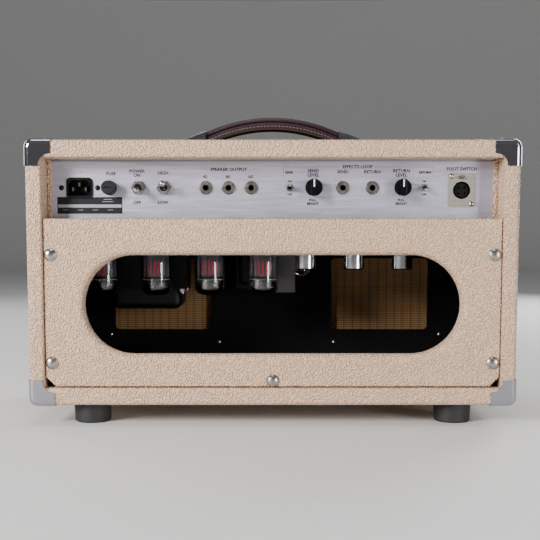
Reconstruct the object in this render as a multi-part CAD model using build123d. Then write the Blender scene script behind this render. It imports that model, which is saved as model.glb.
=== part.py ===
from build123d import *
import math
import os

# A guitar amplifier head. X runs across the case, Y from the front (-Y) to the back (+Y) and
# Z up from the floor, in millimetres. The origin is on the floor below the case's middle.

# Case
CASE_W = 533.0
CASE_D = 250.0
CASE_H = 288.0
BOARD = 19.0
SIDE_BOARD = 17.0
FOOT_H = 22.5
SIDE_EDGE_R = 8.0
RIM_EDGE_R = 5.0
INNER_EDGE_R = 3.0

BACK_Y = CASE_D / 2
FRONT_Y = -CASE_D / 2
CASE_X = CASE_W / 2
BASE_Z = FOOT_H
TOP_Z = FOOT_H + CASE_H
INNER_X = CASE_X - SIDE_BOARD
FLOOR_Z = BASE_Z + BOARD
ROOF_Z = TOP_Z - BOARD

# Back panel and the oblong opening in it
PANEL_T = 16.0
PANEL_Y1 = BACK_Y - 4.0
PANEL_Y0 = PANEL_Y1 - PANEL_T
PANEL_HALF_W = INNER_X - 0.6
PANEL_Z0 = FLOOR_Z + 1.4
PANEL_Z1 = 226.2
PANEL_CLIP = 11.0
OPENING_W = 411.5
OPENING_H = 108.2
OPENING_Z = 132.5
OPENING_BACK_R = 8.0
OPENING_FRONT_R = 5.0
CLEAT = 16.0
SCREW_X = 241.3
PANEL_SCREWS = [(-SCREW_X, 187.0), (SCREW_X, 187.0), (-SCREW_X, 69.0), (SCREW_X, 69.0),
                (0.0, 49.5)]
CLEAT_TOP = 222.0
WOOD_SCREW_HOLE_R = 2.15
CUP_R = 7.3
CUP_LIP = (5.1, 2.4)
CUP_THROAT = (2.3, 0.9)
HEAD_RIM = (4.9, 2.55)
HEAD_CROWN = 3.7
CROSS_ARM = 5.4
CROSS_W = 0.9

# Front baffle, its two vent windows and the cloth over it
BAFFLE_T = 9.0
BAFFLE_Y0 = FRONT_Y + 9.0
BAFFLE_Y1 = BAFFLE_Y0 + BAFFLE_T
BAFFLE_Z0 = FLOOR_Z + 0.5
BAFFLE_Z1 = 225.0
WINDOW_X = 141.25
WINDOW_W = 127.5
WINDOW_Z0 = 84.0
WINDOW_Z1 = 178.0
CLOTH_T = 1.5
PIPING = 3.5
BAFFLE_SCREWS = [(-221.0, 78.0), (-82.5, 68.0), (69.0, 68.0), (211.0, 78.0)]

# Corner protectors
CORNER_LEG = 28.0
CORNER_T = 1.2
CORNER_SCALLOP_R = 13.5
CORNER_SCREW_FAR = 21.0
CORNER_SCREW_NEAR = 8.0

# Handle
HANDLE_W = 28.0
HANDLE_TOP = TOP_Z + 35.5
HANDLE_UNDER = TOP_Z + 20.5
STRAP_END = 100.0
STRAP_END_Z = TOP_Z + 6.5
STRAP_REST = 78.0
STRAP_Z0 = TOP_Z + 0.5
CAP_IN = 78.0
CAP_OUT = 118.0
CAP_W = 33.0
CAP_BOLT_X = 109.5
CAP_SEAT = 3.5
CAP_MOUTH_H = 19.8
CAP_MIDDLE = (99.0, TOP_Z + 12.0)
CAP_TOE_H = 3.0
CAP_WALL = 1.5
CAP_SLACK = 0.4
STRAP_EDGE_R = 3.5
BOLT_R = 2.5
BOLT_HOLE_R = 2.6
BOLT_HEAD_R = 4.6
CLAMP_BOLTS = [(x, y) for x in (109.0, 198.0) for y in (-89.5, -16.5)]

# Feet
FOOT_R = 21.0
FOOT_X = 202.5
FOOT_Y = 90.0
FOOT_RECESS_R = 7.5
FOOT_RECESS = 14.0

# Chassis: a folded pan hung from the top board, with a face plate at each end
SHEET = 1.5
REAR_PLATE_Y = BACK_Y - 34.0
FRONT_PLATE_Y = FRONT_Y + 26.0
PLATE_HALF_W = 244.0
PLATE_Z0 = 226.8
PLATE_Z1 = 289.3
PAN_HALF_W = 243.0
PAN_Z0 = 226.0
PAN_Y0 = FRONT_PLATE_Y + SHEET
PAN_Y1 = REAR_PLATE_Y - SHEET
PAN_LIP = 18.0
WALL = 2 * SHEET
CHASSIS_BOLTS = [(x, y) for x in (-170.0, 170.0) for y in (PAN_Y0 + 11.0, PAN_Y1 - 11.0)]

# Rear panel row. Places are distances to the right as the panel is read from behind.
REAR_ROW = 260.5
INLET_U = -213.6
FUSE_U = -180.5
POWER_U = -148.4
LEVEL_U = -120.2
SPEAKER_US = (-73.9, -48.8, -23.7)
SEND_SWITCH_U = 19.1
SEND_KNOB_U = 45.4
SEND_JACK_U = 77.6
RETURN_JACK_U = 110.2
RETURN_KNOB_U = 143.2
RETURN_SWITCH_U = 167.7
FOOTSWITCH_U = 208.9
FOOTSWITCH_Z = 257.8

# Front panel row, read from the front
FRONT_ROW = 258.0
INPUT_XS = (-221.0, -189.0)
BRIGHT_X = -157.0
KNOB_XS = {"gain": -117.0, "treble": -67.0, "middle": -17.0, "bass": 33.0,
           "master": 83.0, "presence": 133.0}
STANDBY_X = 178.0
LAMP_X = 218.0

# Control hardware, measured out from a panel's face
SHAFT_R = 3.175
RUN = 0.06
THROW = 12.0
PIVOT_BIG = 3.0
PIVOT_MINI = 1.5
BUSH_R = 4.75
BUSH_TOP = 6.0
POT_R = 12.0
POT_BACK = -14.0
KNOB_R = 9.5
KNOB_Z0 = 3.0
KNOB_Z1 = 17.0
KNOB_SKIRT = 6.5
KNOB_BAR = 7.0
KNOB_BEVEL = 0.8
SHAFT_TOP = 13.0
INLET_W = 29.0
INLET_H = 22.5
INLET_TOP_R = 5.0
INLET_CLIP = 2.2
INLET_BEVEL = 4.5
INLET_DEPTH = 20.0
INLET_OUT = 1.6
INLET_CAVITY = 15.0
INLET_SCREW = 20.0
JACK_BORE_R = 3.25
JACK_BUSH_R = 4.7
JACK_TOP = 3.2
JACK_BACK = -25.0
XLR_BARREL_R = 12.0
XLR_GAP_R = 9.6
XLR_INSERT_R = 7.6
LATCH_UP = 14.2
FUSE_TUBE_R = 6.2
FUSE_R = 3.175

# Power valves, preamp valves and their places: distance right as seen from behind, then Y
POWER_VALVES = [(u, 20.0) for u in (-199.5, -137.0, -73.5, -11.0)]
POWER_GLASS_R = 17.75
POWER_TIP_Z = 137.0
POWER_BASE_Z0 = 200.0
POWER_BASE_Z1 = 218.2
POWER_PIN_R = 1.15
PREAMP_VALVES = [(39.0, 35.0), (95.4, 35.0), (151.4, 35.0)]
BARE_VALVE = (36.5, -15.0)
PREAMP_GLASS_R = 9.6
SHIELD_R = 12.0
SHIELD_Z0 = 168.3

# Transformers, each part as its lowest and highest X, Y and Z
MAINS_CORE_Z0 = 143.0
MAINS_CORE = (104.5, 202.5, -94, -12, MAINS_CORE_Z0, PAN_Z0)
MAINS_BELL = (110.5, 196.5, -88, -18, 118, MAINS_CORE_Z0)
OUTPUT_CORE = (-3, 44, -78, -42, 142, PAN_Z0)
OUTPUT_REAR_BELL = (0, 41, -42, -24, 147, 216)
OUTPUT_FRONT_BELL = (0, 41, -94, -78, 147, 216)
OUTPUT_BRACKET = (-29, -3, -78, -42, 137, PAN_Z0)
BRACKET_T = 2.0
CHOKE_CORE = (-224, -180, -70, -44, 186, PAN_Z0)
CHOKE_BELL = (-221, -183, -44, -32, 190, 222)


def block(x0, x1, y0, y1, z0, z1):
    """A box between two opposite corners."""
    middle = Pos((x0 + x1) / 2, (y0 + y1) / 2, (z0 + z1) / 2)
    return middle * Box(x1 - x0, y1 - y0, z1 - z0)


def post(radius, z0, z1, x=0.0, y=0.0):
    """A round bar along Z."""
    return Pos(x, y, (z0 + z1) / 2) * Cylinder(radius, z1 - z0)


def ring(outer, inner, z0, z1, x=0.0, y=0.0):
    """A round tube along Z."""
    return post(outer, z0, z1, x, y) - post(inner, z0 - 1, z1 + 1, x, y)


def upright(sketch, y0, y1):
    """Stand a sketch drawn in X and Z up, filling y0 to y1."""
    return Pos(0, y1, 0) * Rot(90, 0, 0) * extrude(sketch, y1 - y0)


def turn(*edges):
    """Spin a closed outline, drawn as radius and height, into a solid about Z."""
    return revolve(Plane.XZ * make_face(Curve() + list(edges)), Axis.Z)


def dome_arc(radius, height, z):
    """The arc of a dome, from its rim at height z in to its crown."""
    ball = (radius ** 2 + height ** 2) / (2 * height)
    half = math.asin(min(1.0, radius / ball)) / 2
    middle = z + height - ball
    return ThreePointArc(
        (radius, z), (ball * math.sin(half), middle + ball * math.cos(half)), (0, z + height))


def dome(radius, height, z):
    """A round dome standing on height z."""
    return turn(Polyline((0, z + height), (0, z), (radius, z)), dome_arc(radius, height, z))


def hexagon(corner_r, hole_r, z0, z1):
    """A hexagon nut."""
    body = Pos(0, 0, z0) * extrude(RegularPolygon(corner_r, 6), z1 - z0)
    return body - post(hole_r, z0 - 1, z1 + 1)


def screw(head_r, head_h, shank_r, length, slot=0.2):
    """A domed cross-slot screw, its head standing on Z = 0."""
    cut = head_h * 0.55
    arm = head_r * 1.1
    cross = Pos(0, 0, head_h - cut / 2) * (
        Box(arm, head_r * slot, cut) + Box(head_r * slot, arm, cut))
    return dome(head_r, head_h, 0) + post(shank_r, -length, 0) - Rot(0, 0, 45) * cross


def rear(u, z=REAR_ROW):
    """A place on the rear panel: local X right as read, Y up, Z out of the panel."""
    return Pos(-u, REAR_PLATE_Y, z) * Rot(-90, 0, 0) * Rot(0, 0, 180)


def front(x, z=FRONT_ROW):
    """A place on the front panel: local X right as read, Y up, Z out of the panel."""
    return Pos(x, FRONT_PLATE_Y, z) * Rot(90, 0, 0)


def save(node, *shapes):
    """Write one node: a solid, or a group of separate solids."""
    solids = [solid for shape in shapes for solid in shape.solids()]
    whole = solids[0] if len(solids) == 1 else Compound(children=solids)
    export_step(whole, "parts/" + node + ".step")


# ---------------------------------------------------------------- case


def case_form(grow):
    """The case's outside as one rounded block, grown all round."""
    form = block(-CASE_X - grow, CASE_X + grow, FRONT_Y - grow, BACK_Y + grow,
                 BASE_Z - grow, TOP_Z + grow)
    form = fillet(form.edges().filter_by(Axis.Y), SIDE_EDGE_R + grow)
    rims = form.faces().filter_by(Axis.Y)
    return fillet(rims.edges(), RIM_EDGE_R + grow)


def case_shell():
    """The four boards together, open at the front and the back."""
    cavity = block(-INNER_X, INNER_X, FRONT_Y - 1, BACK_Y + 1, FLOOR_Z, ROOF_Z)
    shell = case_form(0.0) - cavity
    mouths = [face.inner_wires()[0].edges() for face in shell.faces().filter_by(Axis.Y)
              if face.inner_wires()]
    return fillet([edge for mouth in mouths for edge in mouth], INNER_EDGE_R)


def corner_screw_places():
    """Two screws on each corner's flat flange and two on its side flange."""
    places = []
    spots = ((CORNER_SCREW_FAR, CORNER_SCREW_NEAR), (CORNER_SCREW_NEAR, CORNER_SCREW_FAR))
    for x_sign in (-1, 1):
        for y_sign in (-1, 1):
            for z, z_sign in ((BASE_Z, -1), (TOP_Z, 1)):
                for across, along in spots:
                    y = y_sign * (BACK_Y - along)
                    tip = 0 if z_sign > 0 else 180
                    flat = Pos(x_sign * (CASE_X - across), y, z + z_sign * CORNER_T)
                    side = Pos(x_sign * (CASE_X + CORNER_T), y, z - z_sign * across)
                    places.append(flat * Rot(tip, 0, 0))
                    places.append(side * Rot(0, x_sign * 90, 0))
    return places


def panel_screw_places():
    """The back panel's screws, Z out of the panel."""
    return [Pos(x, PANEL_Y1, z) * Rot(-90, 0, 0) for x, z in PANEL_SCREWS]


def foot_places():
    """The middle of each foot, on the floor."""
    return [Pos(x, y, 0) for x in (-FOOT_X, FOOT_X) for y in (-FOOT_Y, FOOT_Y)]


def top_bolt_places():
    """Bolts down through the top board: two for the handle, four for the chassis."""
    caps = [Pos(x, 0, TOP_Z) for x in (-CAP_BOLT_X, CAP_BOLT_X)]
    return caps, [Pos(x, y, TOP_Z) for x, y in CHASSIS_BOLTS]


def board_holes():
    """Every hole drilled in the four boards."""
    holes = [place * post(1.3, -12, 1) for place in corner_screw_places()]
    holes += [place * post(BOLT_HOLE_R, BASE_Z - 1, BASE_Z + 16) for place in foot_places()]
    caps, bolts = top_bolt_places()
    holes += [place * post(BOLT_HOLE_R, -BOARD - 1, 1) for place in caps + bolts]
    return holes


def boards():
    shell = case_shell() - board_holes()
    reach = CASE_W
    regions = {
        "cabinet_top_board": block(-reach, reach, -reach, reach, ROOF_Z, TOP_Z + 9),
        "cabinet_bottom_board": block(-reach, reach, -reach, reach, BASE_Z - 9, FLOOR_Z),
        "cabinet_left_side": block(-reach, 0, -reach, reach, FLOOR_Z, ROOF_Z),
        "cabinet_right_side": block(0, reach, -reach, reach, FLOOR_Z, ROOF_Z),
    }
    for node, region in regions.items():
        save(node, shell & region)


def panel_cleats():
    """Hardwood strips inside the case that the back panel and the baffle screw to."""
    drills = [place * post(WOOD_SCREW_HOLE_R, -PANEL_T - CLEAT + 1, 1) for place in panel_screw_places()]
    strips = []
    for sign in (-1, 1):
        x0, x1 = sorted((sign * (INNER_X - CLEAT), sign * INNER_X))
        strips.append(block(x0, x1, PANEL_Y0 - CLEAT, PANEL_Y0, FLOOR_Z, CLEAT_TOP))
        strips.append(block(x0, x1, BAFFLE_Y1, BAFFLE_Y1 + CLEAT, FLOOR_Z, CLEAT_TOP))
    across = INNER_X - CLEAT
    strips.append(block(-across, across, PANEL_Y0 - CLEAT, PANEL_Y0, FLOOR_Z, FLOOR_Z + CLEAT))
    save("panel_cleats", *[strip - drills for strip in strips])


def back_panel():
    middle = (PANEL_Z0 + PANEL_Z1) / 2
    outline = Pos(0, middle) * Rectangle(2 * PANEL_HALF_W, PANEL_Z1 - PANEL_Z0)
    outline = chamfer(outline.vertices().group_by(Axis.Y)[0], PANEL_CLIP)
    outline -= Pos(0, OPENING_Z) * SlotOverall(OPENING_W, OPENING_H)
    panel = upright(outline, PANEL_Y0, PANEL_Y1)
    back_face = panel.faces().sort_by(Axis.Y)[-1]
    panel = fillet(back_face.inner_wires()[0].edges(), OPENING_BACK_R)
    front_face = panel.faces().sort_by(Axis.Y)[0]
    panel = fillet(front_face.inner_wires()[0].edges(), OPENING_FRONT_R)
    back_face = panel.faces().sort_by(Axis.Y)[-1]
    panel = fillet(back_face.outer_wire().edges(), 1.5)
    save("back_panel", panel - [place * post(WOOD_SCREW_HOLE_R, -PANEL_T - 1, 1)
                                for place in panel_screw_places()])


def panel_fixings():
    """Oval-head screws in cup washers on the back panel, and the baffle's small screws."""
    lip_r, lip_z = CUP_LIP
    throat_r, throat_z = CUP_THROAT
    rim_r, rim_z = HEAD_RIM
    cup = turn(Polyline((throat_r, 0), (CUP_R, 0), (CUP_R - 0.6, 1.1), CUP_LIP,
                        (lip_r - 0.4, lip_z - 0.4), CUP_THROAT, close=True))
    head = turn(Polyline((0, HEAD_CROWN), (0, throat_z + 0.05), (throat_r - 0.05, throat_z + 0.05),
                         (rim_r - 0.3, rim_z - 0.5), HEAD_RIM),
                ThreePointArc(HEAD_RIM, (rim_r * 0.54, HEAD_CROWN - 0.3), (0, HEAD_CROWN)))
    cross = Pos(0, 0, HEAD_CROWN - 0.3) * (
        Box(CROSS_ARM, CROSS_W, 1.6) + Box(CROSS_W, CROSS_ARM, 1.6))
    long_screw = head + post(2.1, -PANEL_T - 14, 1.5) - Rot(0, 0, 20) * cross
    small = screw(3.6, 2.0, 1.6, 7.0)
    baffle_screws = [Pos(x, BAFFLE_Y1, z) * Rot(-90, 0, 0) * small for x, z in BAFFLE_SCREWS]
    save("cup_washers", *[place * cup for place in panel_screw_places()])
    save("panel_screws", *[place * long_screw for place in panel_screw_places()],
         *baffle_screws)


def front_baffle():
    """The black front board with its vent windows, its cloth and the piping round it."""
    middle = (BAFFLE_Z0 + BAFFLE_Z1) / 2
    half = PANEL_HALF_W
    face = Pos(0, middle) * Rectangle(2 * half, BAFFLE_Z1 - BAFFLE_Z0)
    window = fillet(Rectangle(WINDOW_W, WINDOW_Z1 - WINDOW_Z0).vertices(), 6.0)
    for x in (-WINDOW_X, WINDOW_X):
        face -= Pos(x, (WINDOW_Z0 + WINDOW_Z1) / 2) * window
    drills = [Pos(x, BAFFLE_Y1, z) * Rot(-90, 0, 0) * post(1.65, -7.2, 1)
              for x, z in BAFFLE_SCREWS]
    save("front_baffle", upright(face, BAFFLE_Y0, BAFFLE_Y1) - drills)
    cloth_y0 = BAFFLE_Y0 - CLOTH_T
    save("grille_cloth", block(-half, half, cloth_y0, BAFFLE_Y0, BAFFLE_Z0, BAFFLE_Z1))
    loop = Rectangle(2 * half, BAFFLE_Z1 - BAFFLE_Z0)
    loop -= Rectangle(2 * (half - PIPING), BAFFLE_Z1 - BAFFLE_Z0 - 2 * PIPING)
    bead = upright(Pos(0, middle) * loop, cloth_y0 - PIPING, cloth_y0)
    front_edges = bead.faces().sort_by(Axis.Y)[0].edges()
    save("grille_piping", fillet(front_edges, PIPING * 0.42))


def corner_protectors():
    """Pressed three-way corners: a skin on the case, cut to three scalloped flanges."""
    skin = case_form(CORNER_T) - case_form(0.0)
    leg = CORNER_LEG
    reach = leg + 9.0
    bite = CORNER_SCALLOP_R
    corner = block(-leg, 9, -leg, 9, -leg, 9)
    corner -= Pos(-leg, -leg, 0) * Cylinder(bite, 2 * reach)
    corner -= Pos(-leg, 0, -leg) * Rot(90, 0, 0) * Cylinder(bite, 2 * reach)
    corner -= Pos(0, -leg, -leg) * Rot(0, 90, 0) * Cylinder(bite, 2 * reach)
    holes = [place * post(1.3, -3, 1) for place in corner_screw_places()]
    protectors = []
    for x_sign in (-1, 1):
        for y_sign in (-1, 1):
            for z_sign in (-1, 1):
                cutter = corner
                if x_sign < 0:
                    cutter = mirror(cutter, Plane.YZ)
                if y_sign < 0:
                    cutter = mirror(cutter, Plane.XZ)
                if z_sign < 0:
                    cutter = mirror(cutter, Plane.XY)
                tip_z = TOP_Z if z_sign > 0 else BASE_Z
                place = Pos(x_sign * CASE_X, y_sign * BACK_Y, tip_z)
                protectors.append((skin & place * cutter) - holes)
    save("corner_protectors", *protectors)
    pin = screw(2.4, 1.1, 1.2, 11.0)
    save("corner_screws", *[place * pin for place in corner_screw_places()])


def handle():
    """The strap, arched between two end caps that are bolted through the top board."""
    high = ThreePointArc((-STRAP_END, STRAP_END_Z), (0, HANDLE_TOP), (STRAP_END, STRAP_END_Z))
    low = ThreePointArc((STRAP_REST, STRAP_Z0), (0, HANDLE_UNDER), (-STRAP_REST, STRAP_Z0))
    right = Polyline((STRAP_END, STRAP_END_Z), (STRAP_END, STRAP_Z0), (STRAP_REST, STRAP_Z0))
    left = Polyline((-STRAP_REST, STRAP_Z0), (-STRAP_END, STRAP_Z0), (-STRAP_END, STRAP_END_Z))
    strap = upright(make_face(Curve() + [high, right, low, left]), -HANDLE_W / 2, HANDLE_W / 2)
    strap = fillet(strap.edges().filter_by(GeomType.CIRCLE), STRAP_EDGE_R)
    save("handle_strap", strap)

    cap_face = make_face(Curve() + [
        Polyline((CAP_OUT, TOP_Z + CAP_TOE_H), (CAP_OUT, TOP_Z), (CAP_IN, TOP_Z),
                 (CAP_IN, TOP_Z + CAP_MOUTH_H)),
        ThreePointArc((CAP_IN, TOP_Z + CAP_MOUTH_H), CAP_MIDDLE, (CAP_OUT, TOP_Z + CAP_TOE_H))])
    cap = upright(cap_face, -CAP_W / 2, CAP_W / 2)
    cap = fillet(cap.edges().filter_by(GeomType.CIRCLE), 2.4)
    pocket_face = make_face(Polyline(
        (CAP_IN - 1, TOP_Z - 1), (STRAP_END + CAP_WALL, TOP_Z - 1),
        (STRAP_END + CAP_WALL, STRAP_END_Z + 2.1), (CAP_IN - 1, TOP_Z + CAP_MOUTH_H - 1),
        close=True))
    cap -= upright(pocket_face, -HANDLE_W / 2 - CAP_SLACK, HANDLE_W / 2 + CAP_SLACK)
    cap -= post(BOLT_HOLE_R, TOP_Z - 1, TOP_Z + 40, CAP_BOLT_X)
    cap -= post(BOLT_HEAD_R + 0.6, TOP_Z + CAP_SEAT, TOP_Z + 40, CAP_BOLT_X)
    save("handle_end_caps", cap, mirror(cap, Plane.YZ))


def machine_bolts():
    """Bolts for the handle and the chassis, and the nuts that clamp the mains transformer."""
    caps, bolts = top_bolt_places()
    handle_bolt = Pos(0, 0, CAP_SEAT) * screw(BOLT_HEAD_R, 2.4, BOLT_R, 28.0)
    chassis_bolt = Pos(0, 0, 1.2) * screw(BOLT_HEAD_R, 2.4, BOLT_R, 26.0)
    washer = ring(7.5, BOLT_HOLE_R, 0, 1.2)
    nut = hexagon(4.8, 0.5, 0, 4.0) + post(2.0, 0, 6.0)
    nuts = [Pos(x, y, MAINS_CORE_Z0) * Rot(180, 0, 0) * nut
            for x, y in CLAMP_BOLTS]
    save("machine_bolts", *[place * handle_bolt for place in caps],
         *[place * chassis_bolt for place in bolts], *[place * washer for place in bolts], *nuts)


def feet():
    """Tapered rubber feet, each with a screw and washer up inside its recess."""
    foot = turn(Polyline((FOOT_RECESS_R, 0), (FOOT_R - 2.5, 0), (FOOT_R - 1.0, 1.5),
                         (FOOT_R, FOOT_H), (BOLT_HOLE_R, FOOT_H), (BOLT_HOLE_R, FOOT_RECESS),
                         (FOOT_RECESS_R, FOOT_RECESS), close=True))
    save("rubber_feet", *[place * foot for place in foot_places()])
    fixing = Pos(0, 0, FOOT_RECESS) * Rot(180, 0, 0) * screw(5.0, 2.8, BOLT_R, 24.0)
    save("foot_screws", *[place * fixing for place in foot_places()])


# ---------------------------------------------------------------- chassis


def inlet_collar(slack):
    """The mains inlet's outer section: round upper corners and clipped lower ones."""
    outline = Rectangle(INLET_W + 2 * slack, INLET_H + 2 * slack)
    outline = fillet(outline.vertices().group_by(Axis.Y)[-1], INLET_TOP_R)
    return chamfer(outline.vertices().group_by(Axis.Y)[0], INLET_CLIP)


def inlet_mouth():
    """The cavity's section, with its two upper corners bevelled."""
    outline = Rectangle(INLET_W - 4.5, INLET_H - 5.5)
    return chamfer(outline.vertices().group_by(Axis.Y)[-1], INLET_BEVEL)


def rear_cuts(slack):
    """The openings in the rear wall, as bars through the panel."""
    bars = [rear(FUSE_U) * post(FUSE_TUBE_R + slack, -9, 9)]
    bars += [rear(u) * post(6.0 + slack, -9, 9) for u in (POWER_U, LEVEL_U)]
    bars += [rear(u) * post(3.15 + slack, -9, 9) for u in (SEND_SWITCH_U, RETURN_SWITCH_U)]
    bars += [rear(u) * post(BUSH_R + slack, -9, 9) for u in (SEND_KNOB_U, RETURN_KNOB_U)]
    jacks = SPEAKER_US + (SEND_JACK_U, RETURN_JACK_U)
    bars += [rear(u) * post(JACK_BUSH_R + slack, -9, 9) for u in jacks]
    bars.append(rear(FOOTSWITCH_U, FOOTSWITCH_Z) * post(XLR_BARREL_R + slack, -9, 9))
    bars.append(rear(FOOTSWITCH_U, FOOTSWITCH_Z)
                * block(-4.2, 4.2, 5, LATCH_UP + 2.6, -9, 9))
    bars.append(rear(INLET_U) * Pos(0, 0, -9) * extrude(inlet_collar(slack), 18))
    bars += [place * post(1.6, -9, 9) for place in socket_screw_places()]
    return bars


def front_cuts(slack):
    """The openings in the front wall, as bars through the panel."""
    bars = [front(x) * post(JACK_BUSH_R + slack, -9, 9) for x in INPUT_XS]
    bars += [front(x) * post(BUSH_R + slack, -9, 9) for x in KNOB_XS.values()]
    bars.append(front(BRIGHT_X) * post(3.15 + slack, -9, 9))
    bars.append(front(STANDBY_X) * post(6.0 + slack, -9, 9))
    bars.append(front(LAMP_X) * post(6.5 + slack, -9, 9))
    return bars


def socket_screw_places():
    """The inlet's two screws and the footswitch socket's two."""
    inlet = [rear(INLET_U + side * INLET_SCREW) for side in (-1, 1)]
    xlr = rear(FOOTSWITCH_U, FOOTSWITCH_Z)
    return inlet + [xlr * Pos(-11.2, 15.2, 1.5), xlr * Pos(11.2, -15.2, 1.5)]


def chassis_pan():
    """Floor, four walls and the lips that hang from the top board."""
    pan = block(-PAN_HALF_W, PAN_HALF_W, PAN_Y0, PAN_Y1, PAN_Z0, ROOF_Z)
    pan -= block(-PAN_HALF_W + SHEET, PAN_HALF_W - SHEET, PAN_Y0 + SHEET, PAN_Y1 - SHEET,
                 PAN_Z0 + SHEET, ROOF_Z - SHEET)
    pan -= block(-PAN_HALF_W + SHEET, PAN_HALF_W - SHEET, PAN_Y0 + PAN_LIP, PAN_Y1 - PAN_LIP,
                 ROOF_Z - 2 * SHEET, ROOF_Z + 1)
    drills = [post(15.2, PAN_Z0 - 1, PAN_Z0 + 3, -u, y) for u, y in POWER_VALVES]
    drills += [post(9.2, PAN_Z0 - 1, PAN_Z0 + 3, -u, y)
               for u, y in PREAMP_VALVES + [BARE_VALVE]]
    drills += [post(BOLT_HOLE_R, ROOF_Z - 3, ROOF_Z + 1, x, y) for x, y in CHASSIS_BOLTS]
    pan -= drills
    save("chassis_pan", pan - rear_cuts(0.15) - front_cuts(0.15))


def face_plates():
    rear_plate = block(-PLATE_HALF_W, PLATE_HALF_W, REAR_PLATE_Y - SHEET, REAR_PLATE_Y,
                       PLATE_Z0, PLATE_Z1)
    save("rear_face_plate", rear_plate - rear_cuts(0.1))
    front_plate = block(-PLATE_HALF_W, PLATE_HALF_W, FRONT_PLATE_Y, FRONT_PLATE_Y + SHEET,
                        PLATE_Z0, PLATE_Z1)
    save("front_face_plate", front_plate - front_cuts(0.1))


def power_inlet():
    """The mains inlet: a collar through the panel, a flange behind it and three pins."""
    body = Pos(0, 0, -INLET_DEPTH) * extrude(inlet_collar(0), INLET_DEPTH + INLET_OUT)
    body += Pos(0, 0, -2 * WALL) * extrude(RectangleRounded(49.0, INLET_H, 4.0), WALL)
    body -= Pos(0, 0, -INLET_CAVITY) * extrude(inlet_mouth(), INLET_DEPTH)
    pins = [(-7.0, -1.5), (0.0, 3.5), (7.0, -1.5)]
    blades = [Pos(x, y, -12.5) * Box(2.0, 4.0, 27.0) for x, y in pins]
    body -= blades
    body -= [Pos(side * INLET_SCREW, 0, 0) * post(1.55, -9, 9) for side in (-1, 1)]
    save("power_inlet", rear(INLET_U) * body)
    save("power_inlet_pins", *[rear(INLET_U) * blade for blade in blades])
    save("socket_screws", *[place * screw(2.9, 1.5, 1.5, 8.0) for place in socket_screw_places()])


def fuse_parts():
    """A panel fuse holder, its turned cap and the cartridge fuse that comes out with it."""
    holder = post(8.2, 0, 1.5) + post(FUSE_TUBE_R, -42, 0) - post(5.6, -40, 3)
    save("fuse_holder", rear(FUSE_U) * holder)
    cap = turn(Polyline((0, -1.6), (3.45, -1.6), (3.45, -4), (5.2, -4), (5.2, 1.9), (7.7, 1.9),
                        (7.7, 13.4), (6.9, 15.2), (0, 15.2), close=True))
    flutes = [Rot(0, 0, 24 * turned) * post(0.75, 3.4, 20, 7.9) for turned in range(15)]
    cap = cap - flutes - Pos(0, 0, 14.6) * Box(9.0, 1.3, 2.4)
    save("fuse_cap", rear(FUSE_U) * cap)
    link = post(2.8, -34, -2) + post(FUSE_R, -34, -27) + post(FUSE_R, -9, -2)
    save("fuse_link", rear(FUSE_U) * link)


def switch_body():
    """A full-size toggle switch: a body behind the panel and a hollow bushing through it."""
    body = block(-8.5, 8.5, -14, 14, -27, -WALL) + post(5.9, -WALL, 7)
    return body - post(4.2, -2.0, 9)


def mini_switch_body():
    body = block(-4, 4, -6.5, 6.5, -14, -WALL) + post(3.1, -WALL, 5)
    return body - post(2.3, -1.2, 9)


def bat_lever(ball_r, neck_r, tip_r, length):
    """A toggle's bat, pivoting at the origin and widening to a round tip along Z."""
    bat = turn(Polyline((0, 0), (neck_r, 0), (tip_r, length - tip_r), (0, length - tip_r),
                        close=True))
    return Sphere(ball_r) + bat + Pos(0, 0, length - tip_r) * Sphere(tip_r)


def big_lever(place, up):
    tilt = -THROW if up else THROW
    return place * Pos(0, 0, PIVOT_BIG) * Rot(tilt, 0, 0) * bat_lever(3.5, 2.0, 3.3, 21.0)


def mini_lever(place, up):
    tilt = -THROW if up else THROW
    return place * Pos(0, 0, PIVOT_MINI) * Rot(tilt, 0, 0) * bat_lever(1.9, 1.15, 1.6, 13.0)


def switches():
    big = [rear(POWER_U), rear(LEVEL_U), front(STANDBY_X)]
    mini = [rear(SEND_SWITCH_U), rear(RETURN_SWITCH_U), front(BRIGHT_X)]
    save("toggle_switch_bodies", *[place * switch_body() for place in big],
         *[place * mini_switch_body() for place in mini])
    save("power_toggle_lever", big_lever(rear(POWER_U), up=False))
    save("level_toggle_lever", big_lever(rear(LEVEL_U), up=True))
    save("standby_toggle_lever", big_lever(front(STANDBY_X), up=False))
    save("send_toggle_lever", mini_lever(rear(SEND_SWITCH_U), up=True))
    save("return_toggle_lever", mini_lever(rear(RETURN_SWITCH_U), up=False))
    save("bright_toggle_lever", mini_lever(front(BRIGHT_X), up=False))


def knob(shaft_end):
    """A pointer knob: a round skirt with a raised bar across it."""
    skirt = post(KNOB_R, KNOB_Z0, KNOB_Z0 + KNOB_SKIRT)
    bar = Pos(0, 0, (KNOB_Z0 + KNOB_Z1) / 2) * Box(KNOB_BAR, 3 * KNOB_R, KNOB_Z1 - KNOB_Z0)
    bar = bar & post(KNOB_R, KNOB_Z0, KNOB_Z1)
    bar = chamfer(bar.faces().sort_by(Axis.Z)[-1].edges(), KNOB_BEVEL)
    form = skirt + bar - post(5.5, KNOB_Z0 - 1, BUSH_TOP + 0.6) - post(SHAFT_R, 0, SHAFT_TOP)
    return form, post(SHAFT_R, shaft_end, SHAFT_TOP)


def pot(push_pull):
    """A potentiometer, with a pull switch behind it on the two rear ones."""
    body = post(POT_R, POT_BACK, -WALL) + post(BUSH_R, -WALL, BUSH_TOP)
    if not push_pull:
        return body - post(SHAFT_R + RUN, POT_BACK + 0.8, 9)
    body += block(-11, 11, -11, 11, -31, POT_BACK)
    return body - post(SHAFT_R + RUN, -16, 9) - post(7.0, -29.5, POT_BACK)


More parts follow.
